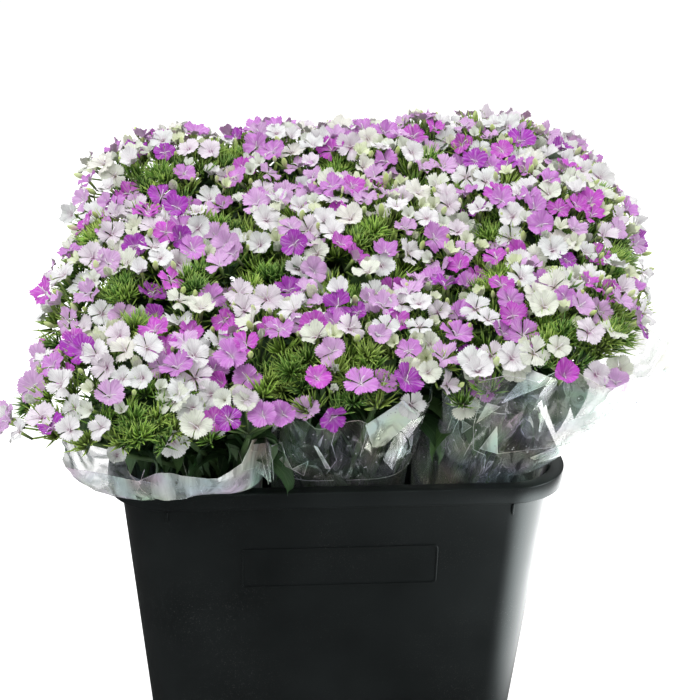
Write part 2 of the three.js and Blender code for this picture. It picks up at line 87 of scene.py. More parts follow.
def outwards(obj):
    editMesh(obj)
    bpy.ops.mesh.normals_make_consistent(inside=False)
    leaveEdit(obj)


def addObject(name, data):
    obj = bpy.data.objects.new(name, data)
    bpy.context.scene.collection.objects.link(obj)
    return obj


def addGrid(columns, rows):
    bpy.ops.mesh.primitive_grid_add(x_subdivisions=columns, y_subdivisions=rows, size=2, calc_uvs=True)
    return bpy.context.object


def addTube(sides, foot, tip):  # open, one unit high, standing on the origin
    bpy.ops.mesh.primitive_cone_add(
        vertices=sides, radius1=foot, radius2=tip, depth=1, end_fill_type="NOTHING", calc_uvs=True)
    bpy.context.object.location.z = 0.5
    placeFlat(bpy.context.object)
    return bpy.context.object


def addBars(name, routes, sizes=None, **settings):  # round bars along the routes, as one mesh
    data = bpy.data.curves.new(name, "CURVE")
    data.dimensions = "3D"
    for key, value in settings.items():
        setattr(data, key, value)
    for k, route in enumerate(routes):
        spline = data.splines.new("POLY")
        spline.points.add(len(route) - 1)
        for point, place in zip(spline.points, route):
            point.co = (*place, 1)
        if sizes:
            spline.points.foreach_set("radius", sizes[k])
    pick(addObject(name, data))
    bpy.ops.object.convert(target="MESH")
    return bpy.context.object


def finishPiece(obj, name, material, slot, *nodes):
    obj.name = name
    obj.data.name = name
    obj.data.materials.clear()
    obj.data.materials.append(material)
    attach(obj, "root")
    if nodes:
        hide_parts(*nodes)


# shader nodes, whose inputs take another node's output, a number or a colour

def feed(tree, socket, value):
    if isinstance(value, bpy.types.NodeSocket):
        tree.links.new(value, socket)
    else:
        socket.default_value = (*value, 1) if socket.type == "RGBA" else value


def feedAll(tree, made, **values):  # what names no input is a setting of the node
    for key, value in values.items():
        socket = made.inputs.get(key.replace("_", " "))
        if socket:
            feed(tree, socket, value)
        else:
            setattr(made, key, value)
    return made


def node(tree, kind, **values):
    return feedAll(tree, tree.nodes.new("ShaderNode" + kind), **values)


def combined(tree, kind, *values, **settings):  # the values go to the inputs in their order
    made = node(tree, kind, **settings)
    for socket, value in zip([each for each in made.inputs if each.enabled], values):
        feed(tree, socket, value)
    return next(each for each in made.outputs if each.enabled)


def maths(tree, operation, *values):
    return combined(tree, "Math", *values, operation=operation)


def mixColour(tree, share, first, second, blend="MIX"):
    return combined(tree, "Mix", share, first, second, data_type="RGBA", blend_type=blend)


def scaled(tree, vector, factor):
    return combined(tree, "VectorMath", vector, factor, operation="SCALE")


def product(tree, first, *others):
    for other in others:
        first = maths(tree, "MULTIPLY", first, other)
    return first


def total(tree, first, *others):
    for other in others:
        first = maths(tree, "ADD", first, other)
    return first


def ramp(tree, value, low, high, start=0.0, end=1.0):
    return combined(tree, "MapRange", value, low, high, start, end)


# camera and light come first

view = {
    "target": (0.0173, 0, 0.447), "distance": 1.4776,
    "azimuth": -5.44, "elevation": 22.98, "roll": 1.307,
    "lens": 83.0, "sensor": 36.0,
}
studio = {
    "sky": {"soft": 0.40, "seen": 1.0, "mirrored": 0.08},
    "top": {"place": (-0.2, 0.0, 2.6), "size": 2.6, "watts": 36},
    "left": {"place": (-1.8, -1.4, 1.7), "size": 1.5, "watts": 19},
    "right": {"place": (2.0, -0.3, 1.3), "size": 1.4, "watts": 14},
    "back": {"place": (0.2, 2.2, 1.7), "size": 1.6, "watts": 10},
    "glint": {"place": (2.1, -1.0, 1.5), "size": 1.2, "watts": 24},  # only shines in reflections
    "aim": (0, 0, 0.45),
    "floorSide": 9.0,
    "floorGlow": 0.7,
    "floorGlint": 5.5,  # the floor's brightness in reflections, in a band on the right and at the back
    "glintBand": (0.28, 0.45, 0.70, 1.00),
    "glintFront": (-0.84, -0.56),
    "glintBack": (0.5, 1.2),
    "bounces": 8,
    "filmsSeenThrough": 32,
}


def addCamera():
    turn, rise, roll = (math.radians(view[key]) for key in ("azimuth", "elevation", "roll"))
    back = Vector((math.sin(turn) * math.cos(rise), -math.cos(turn) * math.cos(rise), math.sin(rise)))
    right = Vector((0, 0, 1)).cross(back).normalized()
    tilted = right * math.cos(roll) + back.cross(right) * math.sin(roll)
    data = bpy.data.cameras.new("camera")
    data.lens = view["lens"]
    data.sensor_width = view["sensor"]
    camera = addObject("camera", data)
    turned = Matrix((tilted, back.cross(tilted), back)).transposed().to_4x4()
    camera.matrix_world = Matrix.Translation(Vector(view["target"]) + back * view["distance"]) @ turned
    bpy.context.scene.camera = camera


def addSoftLight(name, place, size, watts):
    data = bpy.data.lights.new(name, "AREA")
    data.shape = "SQUARE"
    data.size = size
    data.energy = watts
    lamp = addObject(name, data)
    lamp.location = place
    lamp.rotation_euler = (Vector(studio["aim"]) - Vector(place)).to_track_quat("-Z", "Y").to_euler()
    return lamp


def lightStudio():
    world = bpy.data.worlds.new("studio")
    bpy.context.scene.world = world
    world.use_nodes = True
    tree, sky = world.node_tree, studio["sky"]
    path, strength = node(tree, "LightPath"), sky["soft"]
    for ray, key in (("Is Camera Ray", "seen"), ("Is Glossy Ray", "mirrored")):
        strength = maths(tree, "MULTIPLY_ADD", path.outputs[ray], sky[key] - sky["soft"], strength)
    feedAll(tree, tree.nodes["Background"], Color=(1, 1, 1), Strength=strength)
    for name in ("top", "left", "right", "back"):
        addSoftLight(name + "Light", **studio[name])
    addSoftLight("glintLight", **studio["glint"]).visible_diffuse = False
    scene = bpy.context.scene
    scene.view_settings.view_transform = "Standard"
    scene.cycles.transparent_max_bounces = studio["filmsSeenThrough"]
    scene.cycles.max_bounces = studio["bounces"]


addCamera()
lightStudio()
print("camera and light placed")


# where the flowers stand, by the rule that the solids follow

crown = {
    "half": (0.278, 0.213),
    "middle": (0.015, 0.020),
    "skew": (0.1, 0.1),
    "boxiness": 4.6,
    "top": 0.622,
    "highestY": 0.225,
    "frontDrop": 0.124,
    "frontPower": 1.25,
    "frontLeftDip": 0.020,
    "sideDrop": 0.014,
    "sidePower": 3.4,
    "edgeRoll": 0.042,
    "rollPower": 14,
    "tilt": 0.028,
    "frontTilt": 0.062,
    "swell": 0.007,
    "cells": 3,
}
spreading = {"rounds": 150, "push": 0.3, "gatherings": 12, "closest": 0.001}
florets = {"count": 280, "spacing": 0.0302, "seed": 10}
heads = {"count": 72, "spacing": 0.062, "seed": 11}
headDepth = 0.028
partings = {"x": ((-0.062, -0.1), (0.062, 0.28)), "y": ((-0.045, -0.12), (0.045, 0.22))}
lipLevel = 0.384


def seededRandom(seed):  # the solids' own stream of numbers from 0 to 1
    whole = 0xFFFFFFFF
    state = [seed & whole]

    def draw():
        state[0] = (state[0] + 0x6D2B79F5) & whole
        mixed = ((state[0] ^ (state[0] >> 15)) * (state[0] | 1)) & whole
        mixed ^= (mixed + (((mixed ^ (mixed >> 7)) * (mixed | 61)) & whole)) & whole
        return (mixed ^ (mixed >> 14)) / (whole + 1)

    return draw


def crownPoint(places):
    u, v = places[..., 0], places[..., 1]
    halfX, halfY = crown["half"]
    alongX, alongY = halfX * u, halfY * v
    x = crown["middle"][0] + alongX + crown["skew"][0] * alongY
    y = crown["middle"][1] + alongY + crown["skew"][1] * alongX
    forward = np.maximum(0, (crown["highestY"] - y) / (2 * halfY))
    wave = np.cos(math.pi * crown["cells"] * u) + np.cos(math.pi * crown["cells"] * v)
    z = crown["top"] - crown["frontDrop"] * forward ** crown["frontPower"]
    z = z - crown["sideDrop"] * np.abs(u) ** crown["sidePower"]
    z = z - crown["edgeRoll"] * (np.abs(u) ** crown["rollPower"] + np.maximum(0, v) ** crown["rollPower"])
    z = z - crown["frontLeftDip"] * np.maximum(0, -u) * forward ** 3
    z = z + (crown["tilt"] + crown["frontTilt"] * forward) * x + crown["swell"] * wave / 2
    return np.stack([x, y, z], -1)


def edgeShare(places):  # 0 in the middle of the crown and 1 at its edge
    return np.linalg.norm(places, crown["boxiness"], -1)


def heldIn(places):  # what is beyond the crown's edge comes back to it
    return places / np.maximum(1, edgeShare(places))[:, None]


def unit(vectors):
    return vectors / np.maximum(np.linalg.norm(vectors, axis=-1, keepdims=True), 1e-12)


def crownNormal(places, step=0.01):
    alongX = crownPoint(places + (step, 0)) - crownPoint(places - (step, 0))
    alongY = crownPoint(places + (0, step)) - crownPoint(places - (0, step))
    return unit(np.cross(alongX, alongY))


def spreadOverCrown(count, spacing, seed):
    draw = seededRandom(seed)
    places = []
    while len(places) < count:
        place = (2 * draw() - 1, 2 * draw() - 1)
        if edgeShare(np.array(place)) < 1:
            places.append(place)
    places = np.array(places)
    for _ in range(spreading["rounds"]):
        points = crownPoint(places)
        away = points[:, None] - points[None]
        distance = np.linalg.norm(away, axis=-1)
        push = spreading["push"] * (spacing - distance) / np.maximum(distance, spreading["closest"])
        push = np.maximum(push, 0)
        np.fill_diagonal(push, 0)
        places = heldIn(places + (push[..., None] * away[..., :2]).sum(1) / crown["half"])
    return places


def distances(places, others):  # from each place on the crown to each of the others, in metres
    return np.linalg.norm((places[:, None] - others[None]) * crown["half"], axis=-1)


def gatherHeads(flowers):
    middles = spreadOverCrown(**heads)
    for _ in range(spreading["gatherings"]):
        owner = distances(flowers, middles).argmin(1)
        middles = np.array([flowers[owner == k].mean(0) for k in range(len(middles))])
    return middles


flowerPlaces = spreadOverCrown(**florets)
headMiddles = gatherHeads(flowerPlaces)
headNormals = crownNormal(headMiddles)
headCentres = crownPoint(headMiddles) - headDepth * headNormals


def cellOf(pair, across, levels):  # -1, 0 or 1 for each place
    return sum((across > offset + lean * (levels - lipLevel)).astype(int) for offset, lean in pair) - 1


headCells = np.stack([
    cellOf(partings["x"], headCentres[:, 0], headCentres[:, 2]),
    cellOf(partings["y"], headCentres[:, 1], headCentres[:, 2]),
], -1)
cellNames = {
    (column, row): "middle" if (column, row) == (0, 0) else
    ("front", "middle", "back")[row + 1] + "_" + ("left", "middle", "right")[column + 1]
    for column in (-1, 0, 1) for row in (-1, 0, 1)
}
headBunch = np.array([cellNames[tuple(cell)] for cell in headCells])


def bunchOf(places):
    return headBunch[distances(places, headMiddles).argmin(1)]


print("crown laid out:", len(flowerPlaces), "flowers on", len(headMiddles), "heads")


# shapes that repeat are modelled once, read as arrays and copied by the hundred

def shapeOf(obj, length=None, first=0):  # with a length, its map runs from first at the root to 1 at the tip
    mesh = obj.data
    points = np.empty((len(mesh.vertices), 3))
    mesh.vertices.foreach_get("co", points.ravel())
    corners = np.empty(len(mesh.loops), int)
    mesh.loops.foreach_get("vertex_index", corners)
    sizes = np.empty(len(mesh.polygons), int)
    mesh.polygons.foreach_get("loop_total", sizes)
    spots = np.full((len(corners), 2), 0.5)
    if length:
        spots[:, 1] = first + (1 - first) * (points[corners, 2] / length).clip(0, 1)
    else:
        mesh.uv_layers.active.uv.foreach_get("vector", spots.ravel())
    bpy.data.objects.remove(obj)
    bpy.data.meshes.remove(mesh)
    return {"points": points, "corners": corners, "sizes": sizes, "spots": spots}


def framesAlong(axes, turns):  # one frame a copy, its third axis along the given one
    helper = np.where(np.abs(axes[:, :1]) < 0.9, (1.0, 0, 0), (0, 1.0, 0))
    side = unit(np.cross(axes, helper))
    ahead = np.cross(axes, side)
    cos, sin = np.cos(turns)[:, None], np.sin(turns)[:, None]
    return np.stack([side * cos + ahead * sin, ahead * cos - side * sin, axes], -1)


# copies: shape, frames, offsets, tints and, for flowers, eyes, all but the shape with one row for each copy
def scatter(name, copies):
    columns, start = [], 0
    for shape, frames, offsets, *colours in copies:
        count, each = len(offsets), len(shape["points"])
        if not count:
            continue
        placed = np.einsum("kij,nj->kni", frames, shape["points"]) + offsets[:, None]
        corners = shape["corners"] + start + each * np.arange(count)[:, None]
        columns.append((
            placed.reshape(-1, 3), corners.ravel(), np.tile(shape["sizes"], count),
            np.tile(shape["spots"], (count, 1)), np.repeat(colours[0], each, axis=0),
            np.repeat(colours[-1], each, axis=0)))
        start += each * count
    points, corners, sizes, spots, tints, eyes = (np.concatenate(column) for column in zip(*columns))
    mesh = bpy.data.meshes.new(name)
    mesh.vertices.add(len(points))
    mesh.vertices.foreach_set("co", points.astype(np.float32).ravel())
    mesh.loops.add(len(corners))
    mesh.loops.foreach_set("vertex_index", corners.astype(np.int32))
    mesh.polygons.add(len(sizes))
    mesh.polygons.foreach_set("loop_start", (np.cumsum(sizes) - sizes).astype(np.int32))
    mesh.polygons.foreach_set("use_smooth", np.ones(len(sizes), bool))
    mesh.update(calc_edges=True)
    mesh.uv_layers.new(name="growth").uv.foreach_set("vector", spots.astype(np.float32).ravel())
    for label, rows in (("tint", tints), ("eye", eyes)):
        full = np.concatenate([rows, np.ones((len(rows), 1))], -1).astype(np.float32)
        mesh.attributes.new(label, "FLOAT_COLOR", "POINT").data.foreach_set("color", full.ravel())
    mesh.validate()
    return addObject(name, mesh)


petal = {
    "length": 0.0150,
    "lengths": (0.93, 1.04),
    "throat": 0.05,  # the claw starts this far out, as a share of the length
    "widening": 0.8,
    "rounding": 0.23,
    "columns": 4,
    "rows": 4,
    "cuts": 3,
    "tooth": 0.0016,
    "toothUnlike": (0.6, 1.4),
    "channel": 0.10,
    "channelEnd": 0.4,
    "dip": 0.0016,
    "overlap": 0.07,
    "overlapUnlike": 0.012,
    "waves": 4.2,
    "ruffle": 0.0006,
    "ruffles": 11,
    "turnUnlike": 0.09,
}
style = {
    "length": 0.0100, "lengths": (0.8, 1.15), "radius": 0.00052, "taper": 0.5, "sides": 3, "cuts": 4,
    "curls": (1.6, 3.4), "sunk": 0.0004, "apart": (2.2, 3.8),
    "spot": (0.5, 2.0),  # off the petals' map, so it stays pale
}
# climb: how steeply the petals rise near the throat and at the edge, in degrees; claw: how wide they are
# at the throat; wave: how far their edge waves; unlike: how far they differ; spread: half the angle of each;
# teeth: how deep they are cut; point: how far each narrows to a tip; pleat: how sharply it is folded
floretKinds = [
    ((24, 2), 1.00, 0.0009, 7, 38), ((26, 2), 0.80, 0.0014, 10, 35), ((32, 14), 1.00, 0.0014, 12, 37, 0.6),
    ((34, 18), 0.84, 0.0016, 14, 35), ((26, -4), 0.70, 0.0016, 18, 33), ((42, 26), 1.00, 0.0016, 15, 37, 0.5),
    ((22, 8), 0.84, 0.0019, 26, 36), ((40, 2), 0.95, 0.0016, 16, 36), ((46, 32), 0.86, 0.0017, 20, 35, 0.6),
    ((32, -12), 0.82, 0.0016, 22, 35), ((54, 40), 1.00, 0.0016, 18, 35, 0.6),
    ((30, 10), 0.74, 0.0020, 30, 34), ((36, 4), 0.95, 0.0017, 26, 36), ((40, 10), 0.84, 0.0021, 32, 35),
    ((48, 12), 0.84, 0.0018, 30, 35),
]
cupKinds = [
    ((60, 40), 1.00, 0.0010, 6, 38, 0.3, 0.34), ((54, 26), 1.00, 0.0012, 8, 38, 0.3, 0.42),
    ((66, 54), 1.00, 0.0012, 8, 38, 0.5, 0.30), ((60, 42), 0.95, 0.0016, 8, 34, 1, 0, 0.9),
    ((74, 82), 1.00, 0.0014, 8, 38, 0.5, 0.24),
]


def cutEdges(obj, cuts, isCut):  # parts each edge whose two ends pass the test
    mesh = editMesh(obj, "DESELECT")
    for edge in mesh.edges:
        edge.select_set(isCut(*(vert.co for vert in edge.verts)))
    bpy.ops.mesh.subdivide(number_cuts=cuts)
    leaveEdit(obj)


def turnAbout(obj, turn, isFlipped):
    editMesh(obj)
    if isFlipped:
        bpy.ops.mesh.flip_normals()
    bpy.ops.transform.rotate(value=turn, orient_axis="Z", center_override=(0, 0, 0))
    leaveEdit(obj)
    return obj


# one petal, cut from a grid: columns run across it and rows from the throat to the toothed edge
def addPetal(turn, draw, climb, claw, wave, unlike, spread, teeth=1, point=0, pleat=0):
    obj = addGrid(petal["columns"], petal["rows"])
    cutEdges(obj, petal["cuts"], lambda a, b: min(a.y, b.y) > 0.99)
    low, high = (math.radians(angle + draw.uniform(-1, 1) * unlike) for angle in climb)
    lean = petal["overlap"] + draw.uniform(-1, 1) * petal["overlapUnlike"] * unlike
    phase = draw.uniform(0, 2 * math.pi)
    length = petal["length"] * draw.uniform(*petal["lengths"])
    toothStep = 1 / (petal["columns"] * (petal["cuts"] + 1) / 2)
    for vert in obj.data.vertices:
        across, along = vert.co.x, (vert.co.y + 1) / 2
        angle = math.radians(spread) * (claw + (1 - claw) * along ** petal["widening"]) * across
        reach = length * (petal["throat"] + (1 - petal["throat"]) * along)
        reach *= 1 - petal["rounding"] * along * abs(across) ** 3 - point * along * abs(across)
        if along > 0.99:
            isTip = round((across + 1) / toothStep) % 2
            reach += petal["tooth"] * teeth * (isTip - 0.5) * draw.uniform(*petal["toothUnlike"])
        rise = low + (high - low) * along / 2  # the mean slope from the throat to here
        side, out = reach * math.sin(angle), reach * math.cos(angle)
        groove = pleat * abs(side) if pleat else petal["channel"] * side * side / length
        height = out * math.sin(rise) + side * lean - petal["dip"] * (1 - along) ** 2
        height += groove * (petal["channelEnd"] - along)
        height += wave * along ** 2 * math.sin(petal["waves"] * across + phase)
        height += petal["ruffle"] * along ** 4 * math.sin(petal["ruffles"] * across + 2 * phase)
        vert.co = (out * math.cos(rise), side, height)
    return turnAbout(obj, turn, True)


def addStyle(turn, draw):  # a thin thread that curls outwards
    obj = addTube(style["sides"], style["radius"], style["radius"])
    cutEdges(obj, style["cuts"], lambda a, b: abs(a.z - b.z) > 0.5)
    curl = draw.uniform(*style["curls"])
    length = style["length"] * draw.uniform(*style["lengths"])
    for vert in obj.data.vertices:
        bend = curl * vert.co.z
        across = vert.co.x * (1 - style["taper"] * vert.co.z)
        out = length * (1 - math.cos(bend)) / curl + across * math.cos(bend)
        height = length * math.sin(bend) / curl - across * math.sin(bend)
        vert.co = (out, vert.co.y, height - style["sunk"])
    obj.data.uv_layers.active.uv.foreach_set("vector", np.tile(style["spot"], len(obj.data.loops)))
    return turnAbout(obj, turn, False)


def floretShape(kind, seed, hasStyles=True):
    draw = random.Random(seed)
    parts = []
    for k in range(5):
        turn = k * 2 * math.pi / 5 + draw.uniform(-1, 1) * petal["turnUnlike"]
        parts.append(addPetal(turn, draw, *kind))
    if hasStyles:
        first = draw.uniform(0, 2 * math.pi)
        parts += [addStyle(first, draw), addStyle(first + draw.uniform(*style["apart"]), draw)]
    return shapeOf(joined(parts))


floretShapes = [floretShape(kind, 100 + k) for k, kind in enumerate(floretKinds)]
cupShapes = [floretShape(kind, 200 + k, hasStyles=False) for k, kind in enumerate(cupKinds)]
print("flowers modelled:", len(floretShapes), "open,", len(cupShapes), "half open")


# the green parts: bract needles, calyx, stalk, closed bud

needle = {"radius": 0.00112, "swelling": 1.5, "sides": 3, "arches": (0.0008, 0.0030, 0.0052)}
calyx = {"radius": 0.0021, "foot": 0.0014, "length": 0.0150, "sides": 6, "below": 0.00048}
stalk = {"radius": 0.0009, "sides": 5, "sunk": 0.006}
bud = {
    "radius": 0.0030, "length": 0.0125, "sides": 7, "rings": 6, "mapStart": 0.55,
    "outline": (0.72, 0.5, 0.62),  # as wide as this at the foot, how far it widens, how far it closes again
}


def needleShape(arch):  # a slender cone one unit long, bent over at its tip
    obj = addTube(needle["sides"], 1, 0)
    editMesh(obj)
    bpy.ops.mesh.bisect(plane_co=(0, 0, 0.5), plane_no=(0, 0, 1))
    leaveEdit(obj)
    for vert in obj.data.vertices:
        x, y, height = vert.co
        width = needle["radius"] * (needle["swelling"] if 0.1 < height < 0.9 else 1)
        vert.co = (x * width + arch * height ** 2, y * width, height)
    return shapeOf(obj, 1)


def calyxShape():  # the green tube under a flower, hanging down from it
    obj = addTube(calyx["sides"], calyx["foot"], calyx["radius"])
    shape = shapeOf(obj, 1)
    shape["points"] = shape["points"] * (1, 1, calyx["length"]) - (0, 0, calyx["length"] + calyx["below"])
    return shape


def budShape():
    bpy.ops.mesh.primitive_uv_sphere_add(segments=bud["sides"], ring_count=bud["rings"], radius=1)
    obj = bpy.context.object
    foot, widening, closing = bud["outline"]
    for vert in obj.data.vertices:
        height = (vert.co.z + 1) / 2
        slim = bud["radius"] * (foot + widening * height - closing * height ** 3)
        vert.co = (vert.co.x * slim, vert.co.y * slim, height * bud["length"])
    return shapeOf(obj, bud["length"], bud["mapStart"])


needleShapes = [needleShape(arch) for arch in needle["arches"]]
calyxCopy, budCopy = calyxShape(), budShape()
stalkCopy = shapeOf(addTube(stalk["sides"], stalk["radius"], stalk["radius"]), 1)


# leaves: lance-shaped, folded along the midrib and arched

leaf = {
    "length": 0.070,
    "halfWidth": 0.0125,
    "root": 0.16,  # how wide its foot is, as a share of that
    "widest": 0.8,
    "tip": 6,
    "columns": 4,
    "rows": 7,
    "fold": 0.22,
    "steps": 24,
    "kinds": [
        {"lift": 66, "droop": 60, "curl": 0.05},
        {"lift": 58, "droop": 105, "curl": -0.10},
        {"lift": 74, "droop": 34, "curl": 0.0},
        {"lift": 50, "droop": 150, "curl": 0.12},
    ],
}


def leafShape(lift, droop, curl):
    obj = addGrid(leaf["columns"], leaf["rows"])
    slopes = np.radians(lift - droop * (np.arange(leaf["steps"]) + 0.5) / leaf["steps"])
    step = leaf["length"] / leaf["steps"]
    spine = [np.append(0, np.cumsum(way(slopes))) * step for way in (np.cos, np.sin)]
    for vert in obj.data.vertices:
        across, along = vert.co.x, (vert.co.y + 1) / 2
        out, up = (np.interp(along * leaf["steps"], range(leaf["steps"] + 1), run) for run in spine)
        belly = (1 - leaf["root"]) * math.sin(math.pi * along ** leaf["widest"])
        width = leaf["halfWidth"] * (leaf["root"] + belly) * (1 - along ** leaf["tip"])
        slope = math.radians(lift - droop * along)
        raised = leaf["fold"] * abs(across) * width + curl * across * width * along
        vert.co = (out - raised * math.sin(slope), across * width, up + raised * math.cos(slope))
    editMesh(obj)
    bpy.ops.mesh.remove_doubles(threshold=1e-5)
    bpy.ops.mesh.flip_normals()
    leaveEdit(obj)
    return shapeOf(obj)


leafShapes = [leafShape(**kind) for kind in leaf["kinds"]]
print("greens and leaves modelled")


# colours of the flowers, and how many of each there are

flowerColours = [  # share, petals, and the veins of their eye
    (0.27, (0.87, 0.90, 0.88), (0.50, 0.26, 0.40)),
    (0.10, (0.83, 0.88, 0.75), (0.50, 0.34, 0.38)),
    (0.11, (0.84, 0.77, 0.84), (0.50, 0.20, 0.42)),
    (0.15, (0.70, 0.42, 0.74), (0.84, 0.76, 0.85)),
    (0.15, (0.63, 0.24, 0.69), (0.84, 0.74, 0.84)),
    (0.15, (0.60, 0.092, 0.62), (0.84, 0.68, 0.82)),
    (0.07, (0.41, 0.040, 0.50), (0.76, 0.56, 0.76)),
]
cupColours = [
    ((0.83, 0.88, 0.70), (0.50, 0.54, 0.30)), ((0.84, 0.89, 0.79), (0.52, 0.50, 0.40)),
    ((0.80, 0.87, 0.61), (0.48, 0.56, 0.24)),
]
greenTints = {
    "needle": [(0.38, 0.66, 0.09), (0.24, 0.52, 0.07), (0.52, 0.76, 0.15), (0.19, 0.43, 0.08)],
    "calyx": [(0.28, 0.42, 0.14), (0.34, 0.40, 0.22)],
    "stalk": [(0.20, 0.36, 0.10)],
    "bud": [(0.68, 0.77, 0.44), (0.80, 0.86, 0.62), (0.58, 0.69, 0.33)],
}
planting = {
    "seed": 5,
    "tufts": [  # their places on the crown, from -1 to 1, and how far around them no flower stands
        (-0.40, 0.15, 0.032), (-0.27, -0.23, 0.036), (0.08, -0.17, 0.032), (-0.02, -0.40, 0.030),
        (0.20, -0.37, 0.025), (-0.67, 0.48, 0.031), (-0.42, 0.68, 0.030), (-0.07, 0.43, 0.027),
        (-0.85, 0.22, 0.026), (-0.72, -0.22, 0.026), (-0.48, -0.22, 0.024), (-0.55, -0.98, 0.038),
        (-0.18, -0.83, 0.038), (0.07, -0.93, 0.035), (0.83, -0.88, 0.029), (0.65, 0.65, 0.030),
        (-0.63, -0.43, 0.024), (0.32, 0.25, 0.025), (0.45, -0.50, 0.026), (0.88, 0.15, 0.028),
        (0.45, -0.18, 0.023), (0.62, -0.90, 0.026), (-0.95, -0.45, 0.028), (0.32, 0.45, 0.022),
        (-0.36, 0.96, 0.024), (0.90, -0.35, 0.025), (0.10, 0.75, 0.022),
    ],
    "clearingMiddle": 0.74,
    "extraFlorets": 205,
    "cups": 165,
    "buds": 180,
    "tries": 40,
    "open": {"tilt": 25, "sizes": (0.74, 1.04), "sinks": (0, 0.012)},  # tilt: degrees off the crown's own way
    "halfOpen": {"tilt": 25, "sizes": (0.62, 0.9), "sinks": (0.003, 0.010)},
    "closed": {"tilt": 16, "sizes": (0.65, 1.1), "sinks": (0.002, 0.010)},
    "sinkShare": 0.45,  # the solids' own flowers sink less
    "shades": (0.9, 1.08),
    "brightest": 0.88,
    "edgeLean": 0.40,
    "edgeStart": 0.7,
    "upward": 0.25,
    "forward": 0.30,  # how far the faces turn to the front, where the light comes from
    "valley": 0.015,  # how far the crown dips where two bunches meet
    "valleyWidth": 0.036,
    "sags": [  # where else it dips: the place, how wide and how deep that is, and how far down, or up below 0
        (0.81, 0.82, 0.18, 0.52, 0.032), (0.02, 1.00, 0.20, 0.50, 0.015), (-0.98, -0.92, 0.42, 0.42, -0.020),
        (0.525, 1.00, 0.09, 0.45, 0.013),
    ],
    "hanging": (-1, 0.55),  # forwards and up: the way that the low flowers face
    "hangingUnlike": 0.28,
    "mostSway": 1.9,
}
brush = {
    "spacing": 0.0215,
    "count": 500,
    "seed": 8,
    "unevenRoot": 0.0050,
    "mostUneven": 1.5,
    "between": {"each": 30, "length": (0.011, 0.021), "root": 0.0200, "open": 64, "spread": 0.0045},
    "tuft": {"each": 46, "length": (0.010, 0.017), "root": 0.0140, "open": 82, "spread": 0.0040},
    "shades": (0.7, 1.15),
    "needleShades": (0.75, 1.2),
    "inTuft": 8,
    "tuftRadius": 0.60,  # share of the clearing
}
draw = np.random.default_rng(planting["seed"])


def standAside(places):
    own = (distances(places, tuftPlaces) / clearings).argmin(1)
    way, clearing = (places - tuftPlaces[own]) * crown["half"], clearings[own]
    near = np.linalg.norm(way, axis=-1)
    share = np.clip(near / clearing, 0, 1)
    wanted = clearing * (planting["clearingMiddle"] + (1 - planting["clearingMiddle"]) * share)
    push = np.where(near < clearing, wanted - near, 0)
    return heldIn(places + unit(way) * push[:, None] / crown["half"])


def settled(places):  # points on the crown, lower where two bunches meet
    apart = distances(places, headMiddles)
    own = bunchOf(places)[:, None] == headBunch[None]
    nearOwn, nearOther = np.where(own, apart, 1).min(1), np.where(own, 1, apart).min(1)
    share = np.clip(1 - (nearOther - nearOwn) / planting["valleyWidth"], 0, 1)
    down = share * share * (3 - 2 * share) * planting["valley"]
    for u, v, wide, deep, amount in planting["sags"]:
        down = down + amount * np.exp(-(((places - (u, v)) / (wide, deep)) ** 4).sum(-1))
    return crownPoint(places) - down[:, None] * crownNormal(places)


def widestGaps(taken, count):  # places that stand far from all that are taken
    taken = list(taken)
    for _ in range(count):
        tried = standAside(draw.uniform(-1, 1, (planting["tries"], 2)))
        tried = tried[edgeShare(tried) < 1]
        taken.append(tried[distances(tried, np.array(taken)).min(1).argmax()])
    return np.array(taken[-count:])


def tilted(places, usual):  # each flower's own face, leaning out at the crown's edge
    outward = (crownPoint(places) - (*crown["middle"], 0)) * (1, 1, 0)
    start = planting["edgeStart"]
    lean = planting["edgeLean"] * np.clip(edgeShare(places) - start, 0, 1) / (1 - start)
    most = planting["mostSway"]
    sway = draw.normal(0, 1, (len(places), 3)).clip(-most, most)
    sway = sway / math.sqrt(2) * math.tan(math.radians(usual))
    ahead = (0, -planting["forward"], planting["upward"])
    return unit(crownNormal(places) + sway + unit(outward) * lean[:, None] + ahead)


def rowsOf(choices, count):
    return np.array(choices, float)[draw.integers(0, len(choices), count)]


def inBunches(items, places):  # parts rows of arrays by the bunch that they grow in
    owner = bunchOf(places)
    return {name: [rows[owner == name] for rows in items] for name in bunchNames}


tuftPlaces = heldIn(np.array([row[:2] for row in planting["tufts"]]))
clearings = np.array([row[2] for row in planting["tufts"]])
openPlaces = standAside(flowerPlaces)
allFlorets = np.concatenate([openPlaces, widestGaps(openPlaces, planting["extraFlorets"])])
cupPlaces = widestGaps(allFlorets, planting["cups"])
budPlaces = widestGaps(np.concatenate([allFlorets, cupPlaces]), planting["buds"])


def stood(places, tilt, sizes, sinks, share=1):  # a frame and a place for each
    count = len(places)
    axes = tilted(places, tilt)
    grown = draw.uniform(*sizes, count)[:, None, None]
    frames = framesAlong(axes, draw.uniform(0, 2 * math.pi, count)) * grown
    sunk = draw.uniform(*sinks, count) * share
    return frames, settled(places) - crownNormal(places) * sunk[:, None]


def coloured(colours, count, shares=None):
    return np.array(colours)[draw.choice(len(colours), count, p=shares)].swapaxes(0, 1)


# rows: kinds, frames, offsets, tints and, for flowers and cups, eyes
def flowerRows():
    count = len(allFlorets)
    share = np.where(np.arange(count) < len(openPlaces), planting["sinkShare"], 1)
    frames, offsets = stood(allFlorets, **planting["open"], share=share)
    tints, eyes = coloured([row[1:] for row in flowerColours], count, [row[0] for row in flowerColours])
    tints = (tints * draw.uniform(*planting["shades"], (count, 1))).clip(0, planting["brightest"])
    return [draw.integers(0, len(floretShapes), count), frames, offsets, tints, eyes]


